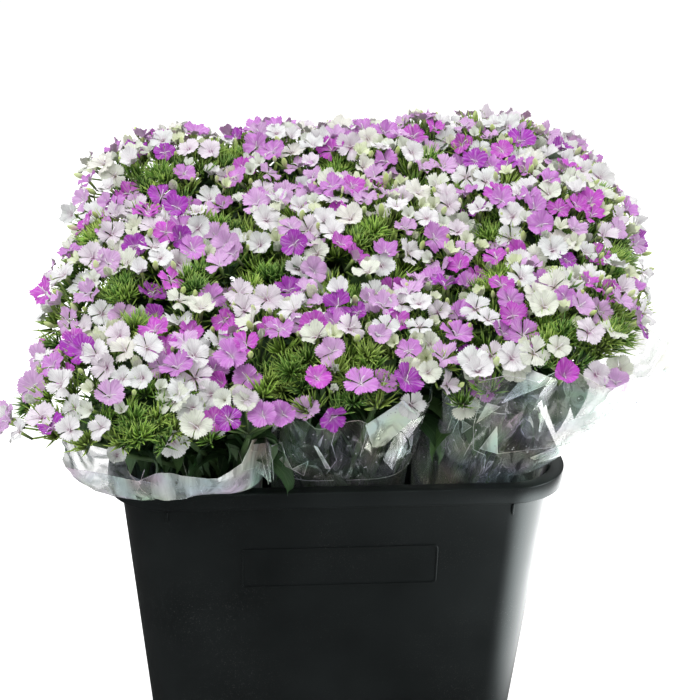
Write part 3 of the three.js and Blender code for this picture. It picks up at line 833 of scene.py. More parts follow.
def cupRows():
    frames, offsets = stood(cupPlaces, **planting["halfOpen"])
    tints, eyes = coloured(cupColours, len(cupPlaces))
    return [draw.integers(0, len(cupShapes), len(cupPlaces)), frames, offsets, tints, eyes]


def budRows():
    frames, offsets = stood(budPlaces, **planting["closed"])
    return [np.zeros(len(budPlaces), int), frames, offsets, rowsOf(greenTints["bud"], len(budPlaces))]


def stretched(frames, lengths):  # only the third axis of each frame takes the length
    scaled = frames.copy()
    scaled[..., 2] *= lengths[:, None]
    return scaled


def needleRows(places, growth):
    count = len(places) * growth["each"]
    most = brush["mostUneven"]
    uneven = brush["unevenRoot"] * draw.normal(0, 1, (len(places), 1)).clip(-most, most)
    middles = settled(places) - (growth["root"] + uneven) * crownNormal(places)
    middles, normals = (np.repeat(rows, growth["each"], axis=0) for rows in (middles, crownNormal(places)))
    spread = np.sqrt(draw.uniform(0.01, 1, count))
    lean = np.radians(growth["open"]) * spread
    base = framesAlong(normals, draw.uniform(0, 2 * math.pi, count))
    axes = base[..., 2] * np.cos(lean)[:, None] + base[..., 0] * np.sin(lean)[:, None]
    offsets = middles + base[..., 0] * (growth["spread"] * spread)[:, None]
    offsets = offsets - normals * draw.uniform(0, growth["spread"], count)[:, None]
    side = unit(np.cross(np.cross(axes, normals), axes))  # needles arch back towards upright
    frames = np.stack([side, np.cross(axes, side), axes], -1)
    frames = stretched(frames, draw.uniform(*growth["length"], count))
    tints = rowsOf(greenTints["needle"], len(places)) * draw.uniform(*brush["shades"], (len(places), 1))
    tints = np.repeat(tints, growth["each"], axis=0) * draw.uniform(*brush["needleShades"], (count, 1))
    return [draw.integers(0, len(needleShapes), count), frames, offsets, tints]


# flowers that hang below the crown's front edge, some of them behind the film: place and number of colour
lowFlorets = {
    "front_left": [
        ((-0.111, -0.182, 0.463), 0), ((-0.141, -0.187, 0.449), 0), ((-0.186, -0.188, 0.438), 0),
        ((-0.083, -0.183, 0.485), 2),
    ],
    "front_middle": [
        ((-0.015, -0.202, 0.476), 6), ((0.052, -0.170, 0.470), 0), ((0.028, -0.176, 0.492), 4),
    ],
    "front_right": [
        ((0.101, -0.168, 0.507), 0), ((0.136, -0.170, 0.502), 1), ((0.113, -0.164, 0.482), 4),
        ((0.097, -0.164, 0.466), 1), ((0.170, -0.198, 0.506), 5), ((0.222, -0.165, 0.484), 3),
        ((0.228, -0.150, 0.490), 1), ((0.205, -0.165, 0.492), 2),
    ],
}


def addLowFlorets(name):
    for place, colour in lowFlorets[name]:
        axis = unit(np.array([[0, *planting["hanging"]]]) + draw.normal(0, planting["hangingUnlike"], (1, 3)))
        frames = framesAlong(axis, draw.uniform(0, 2 * math.pi, 1)) * draw.uniform(*planting["open"]["sizes"])
        kind = draw.integers(0, len(floretShapes), 1)
        row = [kind, frames, *(np.array([each]) for each in (place, *flowerColours[colour][1:]))]
        flowersOf[name] = [np.concatenate(pair) for pair in zip(flowersOf[name], row)]


def tuftMiddles():  # several brushes of needles around each tuft's middle
    middles = np.repeat(tuftPlaces, brush["inTuft"], axis=0)
    swing = draw.uniform(0, 2 * math.pi, len(middles))
    swing = np.stack([np.cos(swing), np.sin(swing)], -1) * np.sqrt(draw.uniform(0, 1, (len(middles), 1)))
    swing = swing * brush["tuftRadius"] * np.repeat(clearings, brush["inTuft"])[:, None]
    return heldIn(middles + swing / crown["half"])


def needlesAt(places, growth):
    return inBunches(needleRows(places, growth), np.repeat(places, growth["each"], axis=0))


flowers, cups = flowerRows(), cupRows()
flowersOf, cupsOf = inBunches(flowers, allFlorets), inBunches(cups, cupPlaces)
for bunch in lowFlorets:
    addLowFlorets(bunch)
needlesOf = needlesAt(spreadOverCrown(brush["count"], brush["spacing"], brush["seed"]), brush["between"])
bareOf = needlesAt(tuftMiddles(), brush["tuft"])
budsOf = inBunches(budRows(), budPlaces)
print("planted:", len(allFlorets), "flowers,", len(cupPlaces), "cups,", len(budPlaces), "buds")


# materials

def objectNoise(tree, scale, detail, output="Fac", distortion=0.0):  # scale: one number, or one for each axis
    place = node(tree, "TexCoord").outputs["Object"]
    if isinstance(scale, tuple):
        place, scale = node(tree, "Mapping", Vector=place, Scale=scale).outputs["Vector"], 1.0
    made = node(tree, "TexNoise", Vector=place, Scale=scale, Detail=detail, Distortion=distortion)
    return made.outputs[output]


def newMaterial(name, **values):
    material = bpy.data.materials.new(name)
    material.use_nodes = True
    tree = material.node_tree
    return material, tree, feedAll(tree, tree.nodes["Principled BSDF"], **values)


socketKinds = {
    "Colour": "NodeSocketColor", "Amount": "NodeSocketFloat", "Scale": "NodeSocketFloat",
    "Mask": "NodeSocketFloat",
}


def newGroup(name, output, **inputs):
    tree = bpy.data.node_groups.new(name, "ShaderNodeTree")
    for label, value in inputs.items():
        socket = tree.interface.new_socket(label, in_out="INPUT", socket_type=socketKinds[label])
        socket.default_value = value
    tree.interface.new_socket(output, in_out="OUTPUT", socket_type=socketKinds[output])
    return tree, tree.nodes.new("NodeGroupInput").outputs, tree.nodes.new("NodeGroupOutput").inputs[output]


# soft blotches of light and dark, as on living leaves and petals
def mottleGroup():
    tree, into, out = newGroup("mottle", "Colour", Colour=(1, 1, 1, 1), Amount=0.15, Scale=90.0)
    centred = ramp(tree, objectNoise(tree, into["Scale"], 3.0), 0.3, 0.7, -1, 1)
    factor = total(tree, product(tree, centred, into["Amount"]), 1.0)
    tree.links.new(scaled(tree, into["Colour"], factor), out)
    return tree


# fine specks that lie thicker in some places than in others
def dustGroup():
    tree, into, out = newGroup("dust", "Mask", Amount=0.3, Scale=900.0)
    fine = ramp(tree, objectNoise(tree, into["Scale"], 2.0), 0.60, 0.74)
    wide = ramp(tree, objectNoise(tree, 14.0, 3.0), 0.40, 0.68)
    tree.links.new(product(tree, fine, wide, into["Amount"]), out)
    return tree


mottle, dust = mottleGroup(), dustGroup()


def mottled(tree, colour, amount, scale):
    made = node(tree, "Group", node_tree=mottle, Colour=colour, Amount=amount, Scale=scale)
    return made.outputs["Colour"]


def dusted(tree, amount, scale):
    return node(tree, "Group", node_tree=dust, Amount=amount, Scale=scale).outputs["Mask"]


def bumps(tree, height, strength, distance):
    return node(tree, "Bump", Height=height, Strength=strength, Distance=distance).outputs["Normal"]


def axesOf(tree, vector):
    return node(tree, "SeparateXYZ", Vector=vector).outputs


def growthMap(tree):  # across and along the petal, leaf or needle
    parts = axesOf(tree, node(tree, "UVMap", uv_map="growth").outputs["UV"])
    return parts["X"], parts["Y"]


def attribute(tree, label, output="Color"):
    return node(tree, "Attribute", attribute_name=label).outputs[output]


def backShare(tree, amount):  # only where a petal or leaf shows its back
    return product(tree, node(tree, "NewGeometry").outputs["Backfacing"], amount)


petalLook = {
    "veins": 17.0, "eyeEnd": 0.56, "eyeSolid": 0.22, "eyeShare": 0.85, "paleBack": 0.42, "veinDepth": 0.42,
    "streakAcross": 9.0, "streakAlong": 1.4, "unlike": 45.0, "paleStreak": 0.28, "darkStreak": 0.34,
    "paintedGlow": 0.03,
    "veinTint": (0.62, 0.52, 0.64), "paleTint": (0.87, 0.84, 0.88), "darkTint": (0.66, 0.60, 0.70),
    "backTint": (0.82, 0.80, 0.79), "styleTint": (0.86, 0.82, 0.86),
}


def petalStreaks(tree, across, along):  # run along the petal, and differ from one flower to the next
    parts = axesOf(tree, node(tree, "TexCoord").outputs["Object"])
    apart = total(tree, parts["X"], product(tree, parts["Y"], 0.6))
    grown = node(
        tree, "CombineXYZ", X=product(tree, across, petalLook["streakAcross"]),
        Y=product(tree, along, petalLook["streakAlong"]), Z=product(tree, apart, petalLook["unlike"]))
    return node(tree, "TexNoise", Vector=grown.outputs["Vector"], Scale=1.0, Detail=2.0).outputs["Fac"]


def petalMaterial():
    material, tree, shader = newMaterial("petals", Roughness=0.5, Specular_IOR_Level=0.25)
    material.cycles.emission_sampling = "NONE"
    across, along = growthMap(tree)
    veins = ramp(tree, maths(tree, "SINE", product(tree, across, petalLook["veins"] * math.pi)), 0.1, 1.0)
    nearEye = ramp(tree, along, petalLook["eyeEnd"], 0.16)
    solidEye = ramp(tree, along, petalLook["eyeSolid"], 0.06)
    eye = maths(tree, "MAXIMUM", product(tree, veins, nearEye), solidEye)
    colour = mixColour(
        tree, product(tree, eye, petalLook["eyeShare"]), attribute(tree, "tint"), attribute(tree, "eye"))
    towardsEye = ramp(tree, along, 1.0, 0.1, 0.35 * petalLook["veinDepth"], petalLook["veinDepth"])
    colour = mixColour(tree, product(tree, veins, towardsEye), colour, petalLook["veinTint"], "MULTIPLY")
    streaks = petalStreaks(tree, across, along)
    paler = ramp(tree, streaks, 0.48, 0.72, 0, petalLook["paleStreak"])
    colour = mixColour(tree, paler, colour, petalLook["paleTint"])
    darker = ramp(tree, streaks, 0.50, 0.28, 0, petalLook["darkStreak"])
    colour = mixColour(tree, darker, colour, petalLook["darkTint"], "MULTIPLY")
    colour = mottled(tree, colour, 0.08, 130.0)
    colour = mixColour(tree, backShare(tree, petalLook["paleBack"]), colour, petalLook["backTint"])
    isStyle = maths(tree, "GREATER_THAN", along, 1.5)
    colour = mixColour(tree, isStyle, colour, petalLook["styleTint"])
    # the petals glow faintly in their own colour: painted light that lifts their shaded sides, in place of
    # light shining through them
    feedAll(
        tree, shader, Base_Color=colour, Emission_Color=colour, Emission_Strength=petalLook["paintedGlow"],
        Normal=bumps(tree, veins, 0.4, 0.0004))
    return material


greenLook = {
    "tip": (0.64, 0.82, 0.20), "tipShare": 0.60, "rootShade": 0.10,
    "rib": (0.20, 0.32, 0.14), "ribShare": 0.4, "vein": (0.10, 0.20, 0.08), "veinShare": 0.22,
    "veins": 60.0, "veinSlant": 46.0, "back": (0.16, 0.26, 0.15), "backShare": 0.45,
    "stem": (0.085, 0.150, 0.055),
}


def greenMaterial():
    material, tree, shader = newMaterial("greens", Roughness=0.48, Specular_IOR_Level=0.35)
    _, along = growthMap(tree)
    uneven = mottled(tree, attribute(tree, "tint"), 0.22, 60.0)
    tipped = mixColour(tree, ramp(tree, along, 0.55, 1.0, 0, greenLook["tipShare"]), uneven, greenLook["tip"])
    # darker towards the root: painted shade deep in the tufts and under the flowers
    depth = ramp(tree, along, 0.0, 0.85, greenLook["rootShade"], 1.0)
    feedAll(tree, shader, Base_Color=scaled(tree, tipped, depth))
    return material


def leafMaterial():
    material, tree, shader = newMaterial("leaves", Roughness=0.36, Specular_IOR_Level=0.5)
    across, along = growthMap(tree)
    offRib = maths(tree, "ABSOLUTE", maths(tree, "SUBTRACT", across, 0.5))
    rib = ramp(tree, offRib, 0.05, 0.0)
    slant = total(
        tree, product(tree, along, greenLook["veins"]), product(tree, offRib, -greenLook["veinSlant"]))
    sideVeins = ramp(tree, maths(tree, "SINE", slant), 0.6, 1.0)
    colour = mottled(tree, attribute(tree, "tint"), 0.30, 45.0)
    colour = mixColour(tree, product(tree, rib, greenLook["ribShare"]), colour, greenLook["rib"])
    colour = mixColour(tree, product(tree, sideVeins, greenLook["veinShare"]), colour, greenLook["vein"])
    colour = mixColour(tree, backShare(tree, greenLook["backShare"]), colour, greenLook["back"])
    feedAll(tree, shader, Base_Color=colour, Normal=bumps(tree, total(tree, rib, sideVeins), 0.35, 0.0005))
    return material


def stemMaterial():
    material, tree, shader = newMaterial("stems", Roughness=0.45, Specular_IOR_Level=0.35)
    feedAll(tree, shader, Base_Color=mottled(tree, greenLook["stem"], 0.3, 30.0))
    return material


filmLook = {
    "clear": 0.07, "milkAndSheenAmount": 0.85, "edge": 0.60, "haze": 0.03, "specks": 0.3, "speckScale": 1100.0,
    "creaseSheen": 0.20, "streakScale": (52, 52, 17), "dent": 0.5, "dentDepth": 0.0020, "patches": (0.35, 1.45),
    "tint": (0.90, 0.98, 0.97), "rainbowScale": 30.0, "rainbowSpread": 3.6, "rainbowShare": 0.13,
}


def filmMaterial():  # mirrors its surroundings like a thin sheet, more so at a glancing angle
    material, tree, shader = newMaterial("clearFilm", Roughness=0.12)
    facing = node(tree, "LayerWeight", Blend=0.5).outputs["Facing"]
    cloud = objectNoise(tree, 22.0, 5.0)
    wrinkles = objectNoise(tree, filmLook["streakScale"], 4.0, distortion=1.2)
    spread = filmLook["rainbowSpread"]
    rainbow = objectNoise(tree, filmLook["rainbowScale"], 0.0, "Color", 0.8)
    vivid = combined(
        tree, "VectorMath", rainbow, [spread] * 3, [0.75 - spread / 2] * 3, operation="MULTIPLY_ADD")
    creases = ramp(tree, maths(tree, "ABSOLUTE", maths(tree, "SUBTRACT", wrinkles, 0.5)), 0.022, 0.0)
    # whitish streaks along the wrinkles' creases: painted highlights
    streaks = product(tree, creases, ramp(tree, cloud, 0.42, 0.62), filmLook["creaseSheen"])
    patchy = ramp(tree, wrinkles, 0.36, 0.64, *filmLook["patches"])
    # milkiness of the film: partly real haze, partly painted sheen that whitens facets, folds and crease
    # lines
    milkAndSheenAmount = product(tree, attribute(tree, "milkAndSheen", "Fac"), patchy, filmLook["milkAndSheenAmount"])
    haze = ramp(tree, cloud, 0.50, 0.72, 0, filmLook["haze"])
    dull = total(tree, milkAndSheenAmount, haze, streaks, dusted(tree, filmLook["specks"], filmLook["speckScale"]))
    grazing = product(tree, maths(tree, "POWER", facing, 4.0), filmLook["edge"])
    cover = node(tree, "Clamp", Value=total(tree, dull, grazing, filmLook["clear"]))
    feedAll(
        tree, shader, Alpha=cover.outputs["Result"], Metallic=ramp(tree, dull, 0.0, 0.25, 1.0, 0.15),
        Base_Color=mixColour(tree, filmLook["rainbowShare"], filmLook["tint"], vivid),
        Normal=bumps(tree, wrinkles, filmLook["dent"], filmLook["dentDepth"]))
    return material


plasticTints = {"black": (0.0104, 0.0122, 0.0126), "scuff": (0.10, 0.11, 0.11), "dust": (0.22, 0.23, 0.22)}


def bucketMaterial():
    material, tree, shader = newMaterial(
        "blackPlastic", Specular_IOR_Level=0.55, Specular_Tint=(0.86, 1.0, 1.0))
    scuffs = ramp(tree, objectNoise(tree, (60, 60, 900), 3.0), 0.66, 0.80)
    specks = dusted(tree, 0.3, 900.0)
    colour = mottled(tree, plasticTints["black"], 0.35, 12.0)
    colour = mixColour(tree, product(tree, scuffs, 0.08), colour, plasticTints["scuff"])
    colour = mixColour(tree, specks, colour, plasticTints["dust"])
    gloss = ramp(tree, objectNoise(tree, 9.0, 4.0), 0.3, 0.7, 0.29, 0.40)
    feedAll(
        tree, shader, Base_Color=colour, Roughness=total(tree, gloss, product(tree, specks, 0.3)),
        Normal=bumps(tree, objectNoise(tree, 1400.0, 1.0), 0.12, 0.0002))
    return material


def rubberMaterial():
    material, tree, shader = newMaterial("rubberBand", Roughness=0.6)
    base = mottled(tree, (0.36, 0.21, 0.09), 0.2, 80.0)
    feedAll(tree, shader, Base_Color=mixColour(tree, dusted(tree, 0.4, 900.0), base, (0.5, 0.42, 0.3)))
    return material


def waterMaterial():
    material, tree, shader = newMaterial("water", Roughness=0.06, Alpha=0.42, IOR=1.33)
    feedAll(
        tree, shader, Base_Color=mottled(tree, (0.42, 0.52, 0.44), 0.15, 12.0),
        Normal=bumps(tree, objectNoise(tree, 22.0, 2.0), 0.3, 0.002))
    return material


def dropletMaterial():
    material, tree, shader = newMaterial("droplets", Roughness=0.04, Alpha=0.55, Specular_IOR_Level=1.0)
    feedAll(tree, shader, Base_Color=mottled(tree, (0.86, 0.90, 0.91), 0.06, 300.0))
    return material


def floorMaterial():
    material, tree, shader = newMaterial(
        "paleFloor", Roughness=0.7, Specular_IOR_Level=0.2, Emission_Color=(1, 1, 1))
    material.cycles.emission_sampling = "NONE"
    path = node(tree, "LightPath").outputs
    isSeen, isMirrored = path["Is Camera Ray"], path["Is Glossy Ray"]
    parts = axesOf(tree, node(tree, "TexCoord").outputs["Object"])
    nearStart, nearEnd, farStart, farEnd = studio["glintBand"]
    band = product(
        tree, ramp(tree, parts["X"], nearStart, nearEnd), ramp(tree, parts["X"], farEnd, farStart),
        ramp(tree, parts["Y"], *studio["glintFront"]))
    bright = maths(tree, "MAXIMUM", band, ramp(tree, parts["Y"], *studio["glintBack"]))
    glint = product(tree, bright, isMirrored, studio["floorGlint"])
    pale = mottled(tree, (0.86, 0.86, 0.86), 0.01, 3.0)
    feedAll(
        tree, shader, Base_Color=mixColour(tree, isMirrored, pale, (0.06, 0.06, 0.06)),
        Emission_Strength=total(tree, product(tree, isSeen, studio["floorGlow"]), glint))
    return material


petalsLook, greensLook, leavesLook = petalMaterial(), greenMaterial(), leafMaterial()
stemsLook, sleeveLook, plasticLook = stemMaterial(), filmMaterial(), bucketMaterial()
rubberLook, waterLook, dropletLook = rubberMaterial(), waterMaterial(), dropletMaterial()
print("materials made")


# flowers and greens of each bunch

def byKind(shapes, rows):
    kinds, *others = rows
    return [(shape, *(row[kinds == k] for row in others)) for k, shape in enumerate(shapes)]


def stalkRows(tops, ends):  # straight stalks from the calyx down to the head
    way = tops - ends
    frames = stretched(framesAlong(unit(way), np.zeros(len(way))), np.linalg.norm(way, axis=-1))
    return stalkCopy, frames, ends, rowsOf(greenTints["stalk"], len(way))


def growFlowers(name):
    copies = byKind(floretShapes, flowersOf[name]) + byKind(cupShapes, cupsOf[name])
    finishPiece(scatter("flowers_" + name, copies), "flowers_" + name, petalsLook, "petals", "bunch_" + name)


def growGreens(name):
    copies = byKind(needleShapes, needlesOf[name]) + byKind(needleShapes, bareOf[name])
    copies += byKind([budCopy], budsOf[name])
    middles, normals = headCentres[headBunch == name], headNormals[headBunch == name]
    tubes = (calyx["length"], calyx["length"], 0)  # buds have none
    for tube, rows in zip(tubes, (flowersOf[name], cupsOf[name], budsOf[name])):
        frames, offsets = rows[1:3]
        tints = rowsOf(greenTints["calyx"], len(offsets))
        if tube:
            copies.append((calyxCopy, frames, offsets, tints))
        tops = offsets - frames[..., 2] * tube
        nearest = np.linalg.norm(tops[:, None] - middles[None], axis=-1).argmin(1)
        copies.append(stalkRows(tops, middles[nearest] - stalk["sunk"] * normals[nearest]))
    finishPiece(scatter("greens_" + name, copies), "greens_" + name, greensLook, "greens", "bunch_" + name)


for bunch in bunchNames:
    growFlowers(bunch)
    growGreens(bunch)
print("flowers and greens grown")


# the bucket's own measures, which the stems and sleeves need too

bucket = {
    "height": 0.380,
    "baseHalf": (0.1565, 0.1065),
    "taper": 0.089,
    "wall": 0.003,
    "floor": 0.004,
    "baseCorner": 0.030,
    "cornerGrowth": 0.036,
    "foot": 0.003,
    "floorChamfer": 0.006,
    "rimHalf": (0.200, 0.150),
    "rimCorner": 0.054,
    "rimBand": 0.015,
    "rimThickness": 0.0035,
    "cornerSteps": 14,
    "softEdge": 0.0011,
    "softAngle": 35,
    "smoothAngle": 32,
    "panel": {"half": (0.086, 0.0205), "corner": 0.004, "steps": 5, "middle": 0.298, "line": 0.0016},
    "lug": {"half": (0.0011, 0.0055), "corner": 0.0008, "steps": 3, "offset": 0.149},
    "proud": {"panel": 0.0008, "lug": 0.0014},
    "sunk": 0.0012,
}


def innerHalf(level):
    return np.array([half + bucket["taper"] * level - bucket["wall"] for half in bucket["baseHalf"]])


mouth = innerHalf(bucket["height"])


def cellMiddle(cell, level):
    return np.array([*(np.array(cell) * 2 * innerHalf(level) / 3), level])


# stems: pressed together at the tie, fanned out to the heads, with a swelling at each leaf pair

stem = {
    "foot": 0.0044,
    "footSpread": 0.0125,
    "tieLevel": 0.140,
    "apartAtTie": 0.0038,
    "mouthMargin": 0.015,
    "mouthShare": 0.6,
    "fanOut": 1.4,
    "topDepth": 0.010,  # below the middle of its head
    "radius": 0.0018,
    "sides": 2,  # bevel resolution
    "points": 22,
    "knots": (0.018, 0.040, 0.066, 0.100, 0.145),  # distances below the head
    "knotReach": 0.008,
    "knotSize": 1.5,
}


def runsAlong(route):  # how far along the route each of its points is
    return np.append(0, np.cumsum(np.linalg.norm(np.diff(route, axis=0), axis=1)))


def smoothRoute(route, steps):  # a smooth line through the points, evenly parted
    route = np.array(route)
    lengths = runsAlong(route)
    slopes = np.gradient(route, lengths, axis=0)
    at = np.linspace(0, lengths[-1], steps)
    k = np.clip(np.searchsorted(lengths, at) - 1, 0, len(route) - 2)
    gap = (lengths[k + 1] - lengths[k])[:, None]
    t = ((at - lengths[k])[:, None]) / gap
    blend = (2 * t**3 - 3 * t**2 + 1) * route[k] + (t**3 - 2 * t**2 + t) * gap * slopes[k]
    return blend + (3 * t**2 - 2 * t**3) * route[k + 1] + (t**3 - t**2) * gap * slopes[k + 1]


def tieRadius(count):  # of the circle on which a bunch's stems stand where they are tied
    return stem["apartAtTie"] / (2 * math.sin(math.pi / count))


def bunchRoutes(name):
    own = np.flatnonzero(headBunch == name)
    offMiddle = headCentres[own] - headCentres[own].mean(0)
    angles = np.arctan2(offMiddle[:, 1], offMiddle[:, 0])
    own, angles = own[angles.argsort()], np.sort(angles)
    turns = 2 * math.pi / len(own) * np.arange(len(own))
    room = mouth / 3
    routes = []
    for head, turn in zip(own, turns + (angles - turns).mean()):
        cell = headCells[head]
        out = np.array([math.cos(turn), math.sin(turn), 0])
        lip = cellMiddle(cell, lipLevel)
        share = stem["mouthShare"] * (headCentres[head][:2] - stem["fanOut"] * lip[:2]) / room
        share = np.clip(share, -1, 1)
        share = share / max(1, np.linalg.norm(share))
        lip[:2] += share * (room - stem["mouthMargin"])
        top = headCentres[head] - stem["topDepth"] * headNormals[head]
        foot = cellMiddle(cell, stem["foot"]) + out * stem["footSpread"]
        bound = cellMiddle(cell, stem["tieLevel"]) + out * tieRadius(len(own))
        routes.append(smoothRoute([foot, bound, lip, top], stem["points"]))
    return routes


def growStems(name, routes):
    sizes = []
    for route in routes:
        offKnots = np.abs(runsAlong(route[::-1])[::-1, None] - stem["knots"]).min(1)
        sizes.append(np.where(offKnots < stem["knotReach"], stem["knotSize"], 1))
    obj = addBars(
        "stems_" + name, routes, sizes, bevel_depth=stem["radius"], bevel_resolution=stem["sides"],
        use_fill_caps=True)
    bpy.ops.object.shade_smooth()
    finishPiece(obj, "stems_" + name, stemsLook, "stems", "bunch_" + name)


leafReach = {"beyond": 0.055, "halfX": 0.195, "front": -0.150, "back": 0.175}
foliage = {
    "sizes": (0.72, 1.0),
    "topSize": 0.8,
    "sway": 0.12,
    "upperPairs": 3,  # from there on down, the leaves stand upright
    "rings": (  # distance below the head, leaves, size, degrees below the kind's lift
        (0.012, 6, 0.80, 20), (0.030, 8, 1.0, 8), (0.046, 8, 1.1, 12), (0.064, 7, 1.15, 14),
    ),
    "ringSizes": (0.75, 1.0),
    "ringUnlike": 0.3,
    "ringTips": (-8, 12),
}
leafTints = [(0.070, 0.145, 0.045), (0.050, 0.115, 0.042), (0.100, 0.190, 0.060), (0.042, 0.095, 0.040)]


def turnedIn(place, turn):  # leaves at the edge of the crown turn back towards its middle
    cos, sin = math.cos(turn), math.sin(turn)
    reachX, reachY = place[0] + leafReach["beyond"] * cos, place[1] + leafReach["beyond"] * sin
    if abs(reachX - crown["middle"][0]) > leafReach["halfX"]:
        cos = -math.copysign(cos, place[0] - crown["middle"][0])
    if not leafReach["front"] < reachY < leafReach["back"]:
        sin = -math.copysign(sin, place[1])
    return np.array([[cos, -sin, 0], [sin, cos, 0], [0, 0, 1]])


def pointBelow(route, depth):
    return np.array([np.interp(depth, runsAlong(route[::-1]), route[::-1, axis]) for axis in range(3)])


def leafPairs(route):  # one pair at each knot: kind, frame and place of each leaf
    rows = []
    for level, knot in enumerate(stem["knots"]):
        place = pointBelow(route, knot)
        turn = draw.uniform(0, 2 * math.pi)
        for side in (0, math.pi):
            size = draw.uniform(*foliage["sizes"]) * (foliage["topSize"] if level == 0 else 1)
            frame3 = turnedIn(place, turn + side)
            frame3[:2, 2] = draw.normal(0, foliage["sway"], 2)
            kind = draw.choice([0, 1, 3]) if level < foliage["upperPairs"] else 2
            rows.append((kind, frame3 * size, place))
    return rows


def leafRings(route):  # a dense undergrowth just below the head
    rows = []
    for depth, leaves, size, lower in foliage["rings"]:
        start = draw.uniform(0, 2 * math.pi)
        place = pointBelow(route, depth)
        for k in range(leaves):
            turn = start + 2 * math.pi * k / leaves + draw.uniform(-1, 1) * foliage["ringUnlike"]
            tip = math.radians(lower + draw.uniform(*foliage["ringTips"]))
            cos, sin = math.cos(tip), math.sin(tip)
            down = np.array([[cos, 0, sin], [0, 1, 0], [-sin, 0, cos]])
            frame3 = turnedIn(place, turn) @ down * size * draw.uniform(*foliage["ringSizes"])
            rows.append((draw.choice([0, 2, 3]), frame3, place))
    return rows


def growLeaves(name, routes):
    rows = sum((leafPairs(route) + leafRings(route) for route in routes), [])
    columns = [np.array(column) for column in zip(*rows)]
    copies = byKind(leafShapes, [*columns, rowsOf(leafTints, len(rows))])
    finishPiece(scatter("leaves_" + name, copies), "leaves_" + name, leavesLook, "leaves", "bunch_" + name)


for bunch in bunchNames:
    ways = bunchRoutes(bunch)
    growStems(bunch, ways)
    growLeaves(bunch, ways)
print("stems and leaves grown")


# clear sleeves: a cone of thin film, crumpled where it leaves the bucket

sleeve = {
    "bottom": 0.168,
    "bottomShare": 0.72,
    "corner": 0.041,
    "roundest": 0.95,
    "gap": 0.0014,
    "arc": 7,
    "straight": 20,
    "rows": (8, 30),
    "seed": 3,
    "crease": 0.012,  # how deep the film crumples above the lip
    "creaseBelow": 0.003,
    "creaseScale": 24.0,
    "creaseRise": 1.6,  # how fast the film gets crumpled above the lip
    "creaseParts": (1.2, 0.32, 0.5),  # large creases, small ones, and a soft swing
    "smallCreases": 2.1,  # how many small ones there are to a large one
    "upright": 0.45,  # creases run up and down more than across
    "jag": 0.016,
    "jagScale": 26,
    "keep": 0.16,  # share of the triangles that stay, which makes the facets uneven
    # some facets turn milky at random: partly haze, partly painted sheen in place of bright reflecting facets
    "milkySheenShare": 0.025,
    "milkySheenFacets": (0.3, 0.8),
    "milkySheenFrom": 0.02,  # below the lip
    "linesFrom": 0.01,
    "mistWidth": 0.05,
    "plainBelow": 0.30,  # milkiness and painted sheen of the folds that get no bright edge of painted highlight
    "line": 0.00022,
    "lineAngle": 40,
    "smoothAngle": 26,  # flatter bends than this are round, sharper ones are creases
    "foldY": -0.172,  # where folds and creases lie when they miss the film
    "foldGap": 0.002,
}
hems = {
    "front_left": {"level": 0.414, "inner": 0.440, "y": 0.044, "x": 0.050, "roll": 2.4, "milkAndSheen": 0.60},
    "front_middle": {"level": 0.440, "inner": 0.440, "y": 0.030, "roll": 1.2, "milkAndSheen": 0.08},
    "front_right": {
        "level": 0.500, "inner": 0.470, "y": 0.060, "x": 0.092, "milkAndSheen": 0.15,
        "mist": (0.205, 0.20),
    },
    "middle_left": {"level": 0.452, "inner": 0.440, "x": 0.046},
    "middle": {"level": 0.440, "inner": 0.440},
    "middle_right": {"level": 0.484, "inner": 0.440, "x": 0.074},
    "back_left": {"level": 0.490, "inner": 0.470, "y": 0.062, "x": 0.040},
    "back_middle": {"level": 0.500, "inner": 0.470, "y": 0.068},
    "back_right": {"level": 0.500, "inner": 0.470, "y": 0.070, "x": 0.066},
}
peaks = {  # how far the hem's corners rise, from the start of their arc to its end
    ("front_middle", 3): (0.016, 0.026), ("front_middle", 2): (0.020, 0.006),
    ("front_left", 3): (0.004, 0.058), ("front_left", 0): (0.046, 0.030),
}
quarters = ((1, 1), (-1, 1), (-1, -1), (1, -1))


# straight runs fill the way from each corner to the next and stay low between them
def ringThrough(cornerPoints):
    ring = []
    for k, points in enumerate(cornerPoints):
        way = cornerPoints[(k + 1) % 4][0] - points[-1]
        ring += points
        for step in range(1, sleeve["straight"] + 1):
            t = step / (sleeve["straight"] + 1)
            rise = t ** 3 if way[2] > 0 else 1 - (1 - t) ** 3
            ring.append(points[-1] + way * (t, t, rise))
    return np.array(ring)


def arcAt(centre, radius, quarter, rises=(0, 0)):
    shares = [i / (sleeve["arc"] - 1) for i in range(sleeve["arc"])]
    turns = [(quarter + share) * math.pi / 2 for share in shares]
    heights = [rises[0] + (rises[1] - rises[0]) * share ** 2 for share in shares]
    return [centre + (radius * math.cos(t), radius * math.sin(t), up) for t, up in zip(turns, heights)]


def lowRing(cell, level):  # below the lip a sleeve fills its share of the bucket
    t = (lipLevel - level) / (lipLevel - sleeve["bottom"])
    full = innerHalf(level) / 3 * (1 + (sleeve["bottomShare"] - 1) * t)
    radius = min(sleeve["corner"], sleeve["roundest"] * full[1]) - sleeve["gap"]
    half = full - sleeve["gap"] - radius
    middle = cellMiddle(cell, level)
    return ringThrough([arcAt(middle + (sx * half[0], sy * half[1], 0), radius, k)
                        for k, (sx, sy) in enumerate(quarters)])


